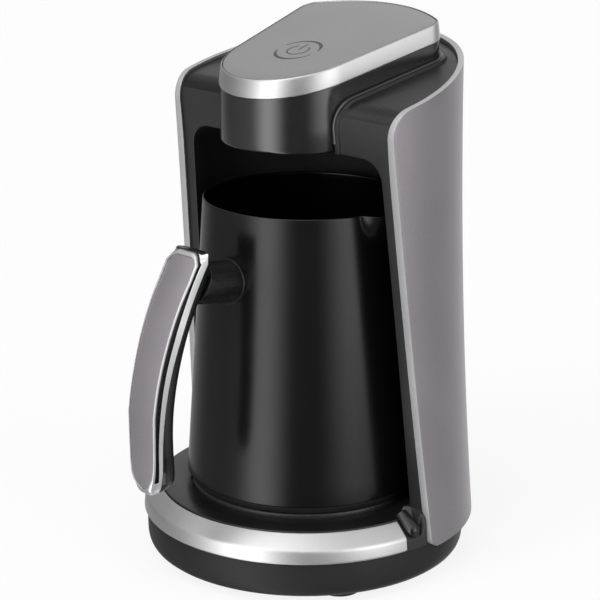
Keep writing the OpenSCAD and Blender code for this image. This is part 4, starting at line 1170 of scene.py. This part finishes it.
def makeCore(k, h):
    # the black grip behind the trim, and the cap that closes its top
    low, top, cap, full = k["low"], h["top"], h["top"] - h["capHeight"], k["round"]
    heights = [low + rise for rise in (0.0, 0.1, 0.35, 0.8, 1.4, 2.2, 3.2, 4.2)]
    heights += [*np.linspace(low + 5, 121, 46), *np.linspace(122.5, cap - 0.2, 16), cap, cap + 0.001]
    heights += [top - fall for fall in (0.15, 0.04, 0)]
    rows = []
    for z in heights:
        inCap, up = z > cap, max(full - (z - low), 0)
        f = shape.front(z) + k["capFrom"] if inCap else shape.bandEnd(z) - k["overlap"]
        back = max(lookUp(k["backs"], z) - full + math.sqrt(full ** 2 - up ** 2), f + k["leastDepth"])
        less = max(0.0, z - (top - k["topEdge"])) ** 2 * k["topFall"] + k["step"]
        wide = shape.side(max(z, h["low"] + k["fullFrom"]), back) - less
        front = min(wide, shape.side(z, f) - less - (k["capStep"] if inCap else 0))
        wide = front if inCap else max(wide, front)
        wide *= math.sqrt(1 - (up / full) ** 2) * (1 - k["lowShare"]) + k["lowShare"]
        front = min(front, wide)
        r = k["backRound"] - k["lessRound"] * ease((k["lessAt"] - z) / k["lessOver"])
        r = min(r, (back - f) * k["mostOfDepth"], wide * k["mostOfWidth"])
        half = [(front * 0.5, f), (front, f), (wide, max(f + 0.05, min(f + 1.2, back - r)))]
        turns = np.linspace(0, math.pi / 2, 7)
        half += [(wide - r + r * math.cos(t), back - r + r * math.sin(t)) for t in turns]
        half = [(x, d, z) for x, d in half + [(wide * 0.3, back)]]
        rows.append(half + mirrored(half))
    loft("handleCore", rows, "handleBlack", "black_satin", ["handle_core"], 40)


makeTrim(handle)
makeInsert(insert, handle)
makeCore(core, handle)
print("handle made")


# the column's frame, the toes and the lip
# the ends of a toe's bar are given by their distance from the axis, their turn from the front and their height
copying = {"weld": 4e-6, "thin": 2e-6, "flatness": 0.4}
frameEdges = {"rounding": 0.8, "steps": 4, "sharp": 24, "deckFrom": 150, "deckNormal": 0.4,
    "inReach": (-0.1, 0.5)}
toeBlock = {"slopeFrom": 57.5, "slopeTop": 28.4, "slope": 0.85, "zoneX": 46, "zoneY": -1.0, "zoneZ": (19, 31)}
toeBar = {"inner": (57.0, 85.0, 29.1), "innerRadius": 2.8, "innerBulge": 0.3, "outer": (63.0, 85.2, 24.6),
    "outerRadius": 3.1, "outerBulge": 1.0, "around": 40, "steps": 12}
leftToeBar = {**toeBar, "inner": (57.0, 86.5, 29.1), "outer": (62.0, 86.7, 25.3), "outerRadius": 2.8}
lip = {"grow": 0.95, "radius": 1.15, "lift": 0.35, "low": 170.2, "inset": 1.0, "around": 14, "apart": 0.5}
baseEdge = {"radius": 64.3, "corner": 8.0, "foot": 3.0, "power": 3.4, "drop": 0.7, "glandFrom": 5.0,
    "glandTo": 16.0}


def roundedCopy(node, name, finish, body, e, change=None):
    # a welded copy of a CAD solid, its flat faces made whole and its sharp edges rounded
    piece = newObject(name, frame["nodes"][node].data.copy())
    shape = bmesh.new()
    shape.from_mesh(piece.data)
    bmesh.ops.remove_doubles(shape, verts=shape.verts, dist=copying["weld"])
    bmesh.ops.dissolve_degenerate(shape, edges=shape.edges, dist=copying["thin"])
    flat = math.radians(copying["flatness"])
    bmesh.ops.dissolve_limit(shape, angle_limit=flat, verts=shape.verts, edges=shape.edges)
    if change:
        bmesh.ops.triangulate(shape, faces=[f for f in shape.faces if any(change(v.co) for v in f.verts)])
        for vertex in shape.verts:
            vertex.co = change(vertex.co) or vertex.co
    shape.to_mesh(piece.data)
    shape.free()
    if piece.data.has_custom_normals:
        piece.data.attributes.remove(piece.data.attributes["custom_normal"])
    return dressPiece(piece, finish, body, [node], nodeSlot[node], e["rounding"], e["steps"], e["sharp"])


def fitFrame(place, t=toeBlock):
    # the toe's block keeps under the bright ring's slope, so that the bar stands out on it
    x, y, z = place.x / mm, (place.y - axisY) / mm, place.z / mm
    away = math.hypot(x, y)
    top = t["slopeTop"] - t["slope"] * max(away - t["slopeFrom"], 0)
    low, high = t["zoneZ"]
    if abs(x) > t["zoneX"] and y < t["zoneY"] and max(top, low) < z < high:
        return Vector((place.x, place.y, top * mm))
    depth = panelRadius(z) - panel["thickness"] - away
    least, most = frameEdges["inReach"]
    if z > frameEdges["deckFrom"] and least < depth < most:  # the frame reaches the thinner part of the panel
        wider = 1 + panelThinning(z) / away
        return Vector((place.x * wider, y * wider * mm + axisY, place.z))
    return None


def fillBase(place, e=baseEdge):
    # the base's lower edge is fuller than the plain arc and a little lower, but not at the cord's gland
    x, y = place.x / mm, (place.y - axisY) / mm
    away, inner, level = math.hypot(x, y), e["radius"] - e["corner"], e["foot"] + e["corner"]
    out, down = away - inner, level - place.z / mm
    reach = math.hypot(out, down)
    if out < -0.05 or down < 0.01 or reach > e["corner"] + 0.2:
        return None
    turn, power = math.atan2(down, max(out, 0.0)), 2 / e["power"]
    share = float(ease((abs(x) - e["glandFrom"]) / (e["glandTo"] - e["glandFrom"]))) if y > 0 else 1.0
    fuller = inner + reach * math.cos(turn) ** power if turn < math.pi / 2 - 1e-6 else away
    lower = level - (reach + e["drop"] * reach / e["corner"]) * math.sin(turn) ** power
    grown = away + (fuller - away) * share
    drop = (lower * mm - place.z) * share
    return Vector((x * grown / away * mm, y * grown / away * mm + axisY, place.z + drop))


def unit(vectors):
    vectors = np.asarray(vectors, float)
    return vectors / np.linalg.norm(vectors, axis=-1, keepdims=True)


def ringPoints(centre, r, first, second, count):
    angles = 2 * math.pi * np.arange(count) / count
    return [centre + r * (first * math.cos(a) + second * math.sin(a)) for a in angles]


def makeToeBar(name, side, t):
    # a tapered bar with round ends: rings round its axis, bulging at both ends
    def at(away, turn, z):
        a = math.radians(turn)
        return np.array([side * away * math.sin(a), -away * math.cos(a), z])

    start, end = at(*t["inner"]), at(*t["outer"])
    axis = unit(end - start)
    across = unit(np.cross(axis, (0, 0, 1.0)))
    up = np.cross(across, axis)
    low, high = axis * t["innerRadius"] * t["innerBulge"], axis * t["outerRadius"] * t["outerBulge"]
    turns = np.linspace(0, math.pi / 2, t["steps"] + 1)
    rings = [(start - low * math.cos(a), t["innerRadius"] * math.sin(a)) for a in turns[1:]]
    rings += [(end + high * math.sin(a), t["outerRadius"] * math.cos(a)) for a in turns[:-1]]
    points = [p for centre, r in rings for p in ringPoints(centre, r, across, up, t["around"])]
    points, faces = closedTube(points, t["around"], start - low, end + high)
    # the bar takes the darker black: painted shade
    addPiece(name, points, faces, "toeBlack", "root", slot="black_satin", sharp=60)


def lipPath(k):
    # up the column's face beside the head, over the shoulder, and back along the deck round the head
    side = [p for part in sidePath(panel, k["inset"]) for p in part if p[1] > k["low"]]
    flat = planPoints + planOutward * (head["wall"] + k["grow"])
    half = flat[flat[:, 0] >= 0]
    half = half[np.argsort(half[:, 1])]
    half = half[half[:, 1] > side[0][0] - 2]
    endY, endZ = side[-1]
    line = [(float(np.interp(y, half[:, 1], half[:, 0])), y, z) for y, z in side]
    line += [(x, y, endZ + panel["topSlope"] * (y - endY)) for x, y in half if y > endY + 0.6]
    line = np.array(line)
    path = [line[0]]
    for point in np.concatenate([line, line[::-1] * (-1, 1, 1)]):
        if np.linalg.norm(point - path[-1]) > k["apart"]:
            path.append(point)
    return np.array(path)


def makeLip(k):
    path = lipPath(k)
    along = unit(np.gradient(path, axis=0))
    outward = np.cross((1.0, 0, 0), along)  # away from the column: forwards on the face, upwards on the deck
    outward = unit(outward * np.where(outward[:, 2] < outward[:, 1], -1, 1)[:, None])
    side = unit(np.cross(along, outward))
    n = k["around"]
    points = [p for centre, s, o in zip(path + outward * k["lift"], side, outward)
        for p in ringPoints(centre, k["radius"], s, o, n)]
    faces = ringFaces(n, len(path), False)
    faces += [tuple(range(n))[::-1], tuple((len(path) - 1) * n + j for j in range(n))]
    addPiece("frameLip", points, faces, "lipBlack", "root", slot="black_satin", sharp=60)


def glossAndShadeDeck(piece, e=frameEdges):
    # the deck and the shoulder are a little glossier than the face, and painted darker: painted shade
    piece.data.materials.append(finishes["deckBlack"])
    for face in piece.data.polygons:
        if face.center.z / mm > e["deckFrom"] and face.normal.z > e["deckNormal"]:
            face.material_index = 1


glossAndShadeDeck(roundedCopy("column_frame", "columnFrame", "blackSatin", "root", frameEdges, fitFrame))
makeToeBar("toeRight", 1, toeBar)
makeToeBar("toeLeft", -1, leftToeBar)
makeLip(lip)
print("column frame, toes and lip made")


# feet and screws, which repeat
feet = {"angles": (60, 130), "away": 49.5, "z": 0, "turn": 0, "seed": 1, "radius": 9.0, "lowRadius": 8.4,
    "height": 3.0, "rounding": 0.7, "plug": 2.0, "plugTop": 4.6, "dimple": 4.4, "dimpleDepth": 0.45}
screw = {"turn": 1.5, "headHeight": 1.0, "crown": 0.45, "length": 9.0, "ridges": 16, "pitch": 0.42,
    "thread": 0.28, "cross": (0.126, 0.574, 0.22),
    "rings": (0.045, 0.11, 0.185, 0.26, 0.33, 0.41, 0.48, 0.555, 0.6, 0.667, 0.78, 0.87, 0.955, 1.0)}
baseScrews = {**screw, "angles": (30, 95), "away": 52.2, "z": 3.3, "head": 2.7, "shank": 1.4, "seed": 4}
columnScrews = {**screw, "angles": (112, 160), "away": 60.6, "z": 14.0, "head": 1.4, "shank": 0.9, "seed": 9}


def repeatTree():
    # one part stood on every point of a mesh, each turned by its own amount about its upright axis
    tree, m, given = newTree("repeatOnPoints", {"Places": "Object", "Part": "Object", "Largest Turn": "Float",
        "Seed": "Int", "Finish": "Material"})
    turn = m.make("FunctionNodeRandomValue", {"data_type": "FLOAT"},
        {2: 0.0, 3: given.of("Largest Turn"), "Seed": given.of("Seed")}, output=1)
    spread = m.make("GeometryNodeInstanceOnPoints", None, {"Points": heldShape(m, given, "Places"),
        "Instance": heldShape(m, given, "Part"), "Rotation": m.make("ShaderNodeCombineXYZ", None, {"Z": turn})})
    endTree(m, spread, given.of("Finish"))
    return tree


def repeatPiece(name, node, tree, k, shape, finish):
    # both helping objects go again when the piece is made
    part = bpy.data.objects.new(name + "Part", newMesh(name + "Part", *shape))
    places = bpy.data.objects.new(name + "Places", newMesh(name + "Places", bothSideSpots(k), []))
    piece = runTree(name, tree, {"Places": places, "Part": part, "Largest Turn": k["turn"], "Seed": k["seed"],
        "Finish": finishes[finish]})
    dressPiece(piece, finish, "root", [node], nodeSlot[node])
    for helper in (places, part):
        bpy.data.objects.remove(helper)


def bothSideSpots(k):  # angles are counted from the front, to both sides
    turns = [math.radians(s * a) for a in k["angles"] for s in (-1, 1)]
    return [(k["away"] * math.sin(t), -k["away"] * math.cos(t), k["z"]) for t in turns]


def footPart(f):
    low, high, r, top = f["lowRadius"], f["radius"], f["rounding"], f["plugTop"]
    profile = [(0, f["dimpleDepth"]), (f["dimple"] - 0.8, f["dimpleDepth"]), (f["dimple"], 0.12),
        (f["dimple"] + 0.25, 0.0)]
    profile += [(low - r + r * math.sin(t), r - r * math.cos(t)) for t in np.linspace(0.05, math.pi / 2, 7)]
    profile += [(high, f["height"] - 0.3), (high, f["height"]), (f["plug"] + 0.2, f["height"] + 0.1),
        (f["plug"], f["height"] + 0.3), (f["plug"], top - 0.5), (f["plug"] - 0.5, top), (0, top)]
    return turnedSolid(profile, 48)


def screwPart(s):
    # a pan head with a cross recess, facing down, and a shank with thread ridges
    head, base, shank, length = s["head"], s["headHeight"], s["shank"], s["length"]
    slot, reach, depth = (share * head for share in s["cross"])
    angles = 2 * math.pi * np.arange(96) / 96
    points = []
    for r in (head * share for share in s["rings"]):
        for x, y in ((r * math.cos(a), r * math.sin(a)) for a in angles):
            inCross = r < reach and min(abs(x), abs(y)) < 1.06 * slot
            sunk = depth * (1 - 0.35 * r / reach) if inCross else 0.0
            points.append((x, y, s["crown"] * (r / head) ** 4 + sunk))
    rows = [(head, base), (shank + 0.1, base)]
    rows += [(shank - s["thread"] * (i % 2), base + 0.5 + s["pitch"] * i) for i in range(s["ridges"])]
    rows += [(shank - 0.3, length - 1.0), (0.25, length)]
    points += [(r * math.cos(a), r * math.sin(a), z) for r, z in rows for a in angles]
    return closedTube(points, len(angles), (0, 0, depth), (0, 0, length))


repeated = repeatTree()
repeatPiece("rubberFeet", "rubber_feet", repeated, feet, footPart(feet), "rubber")
repeatPiece("baseScrews", "base_screws", repeated, baseScrews, screwPart(baseScrews), "zincSteel")
repeatPiece("columnScrews", "column_screws", repeated, columnScrews, screwPart(columnScrews), "zincSteel")
print("feet and screws made")


# the other seen pieces, with softened edges
softEdges = {"steps": 3, "sharp": 28}
softPieces = [
    ("base_shell", "baseShell", "baseBlack", "root", 0.45),
    ("bottom_cover", "bottomCover", "blackMatte", "root", 0.35),
    ("heating_plate", "heatingPlate", "plateCoating", "root", 0.5),
    ("pot_base", "potBase", "baseBlack", "jug", 0.5),
    ("handle_neck", "handleNeck", "handleBlack", "jug", 0.5),
    ("handle_washer", "handleWasher", "handleBlack", "jug", 0.35),
    ("cord_gland", "cordGland", "rubber", "root", 0.35),
    ("bay_liner", "bayLiner", "blackMatte", "root", 0.3),
    ("head_underside", "headUnderside", "blackSatin", "root", 0.25)]
for node, name, finish, body, rounding in softPieces:
    roundedCopy(node, name, finish, body, {"rounding": rounding, **softEdges},
        fillBase if node == "base_shell" else None)
print("edges softened on", len(softPieces), "pieces")
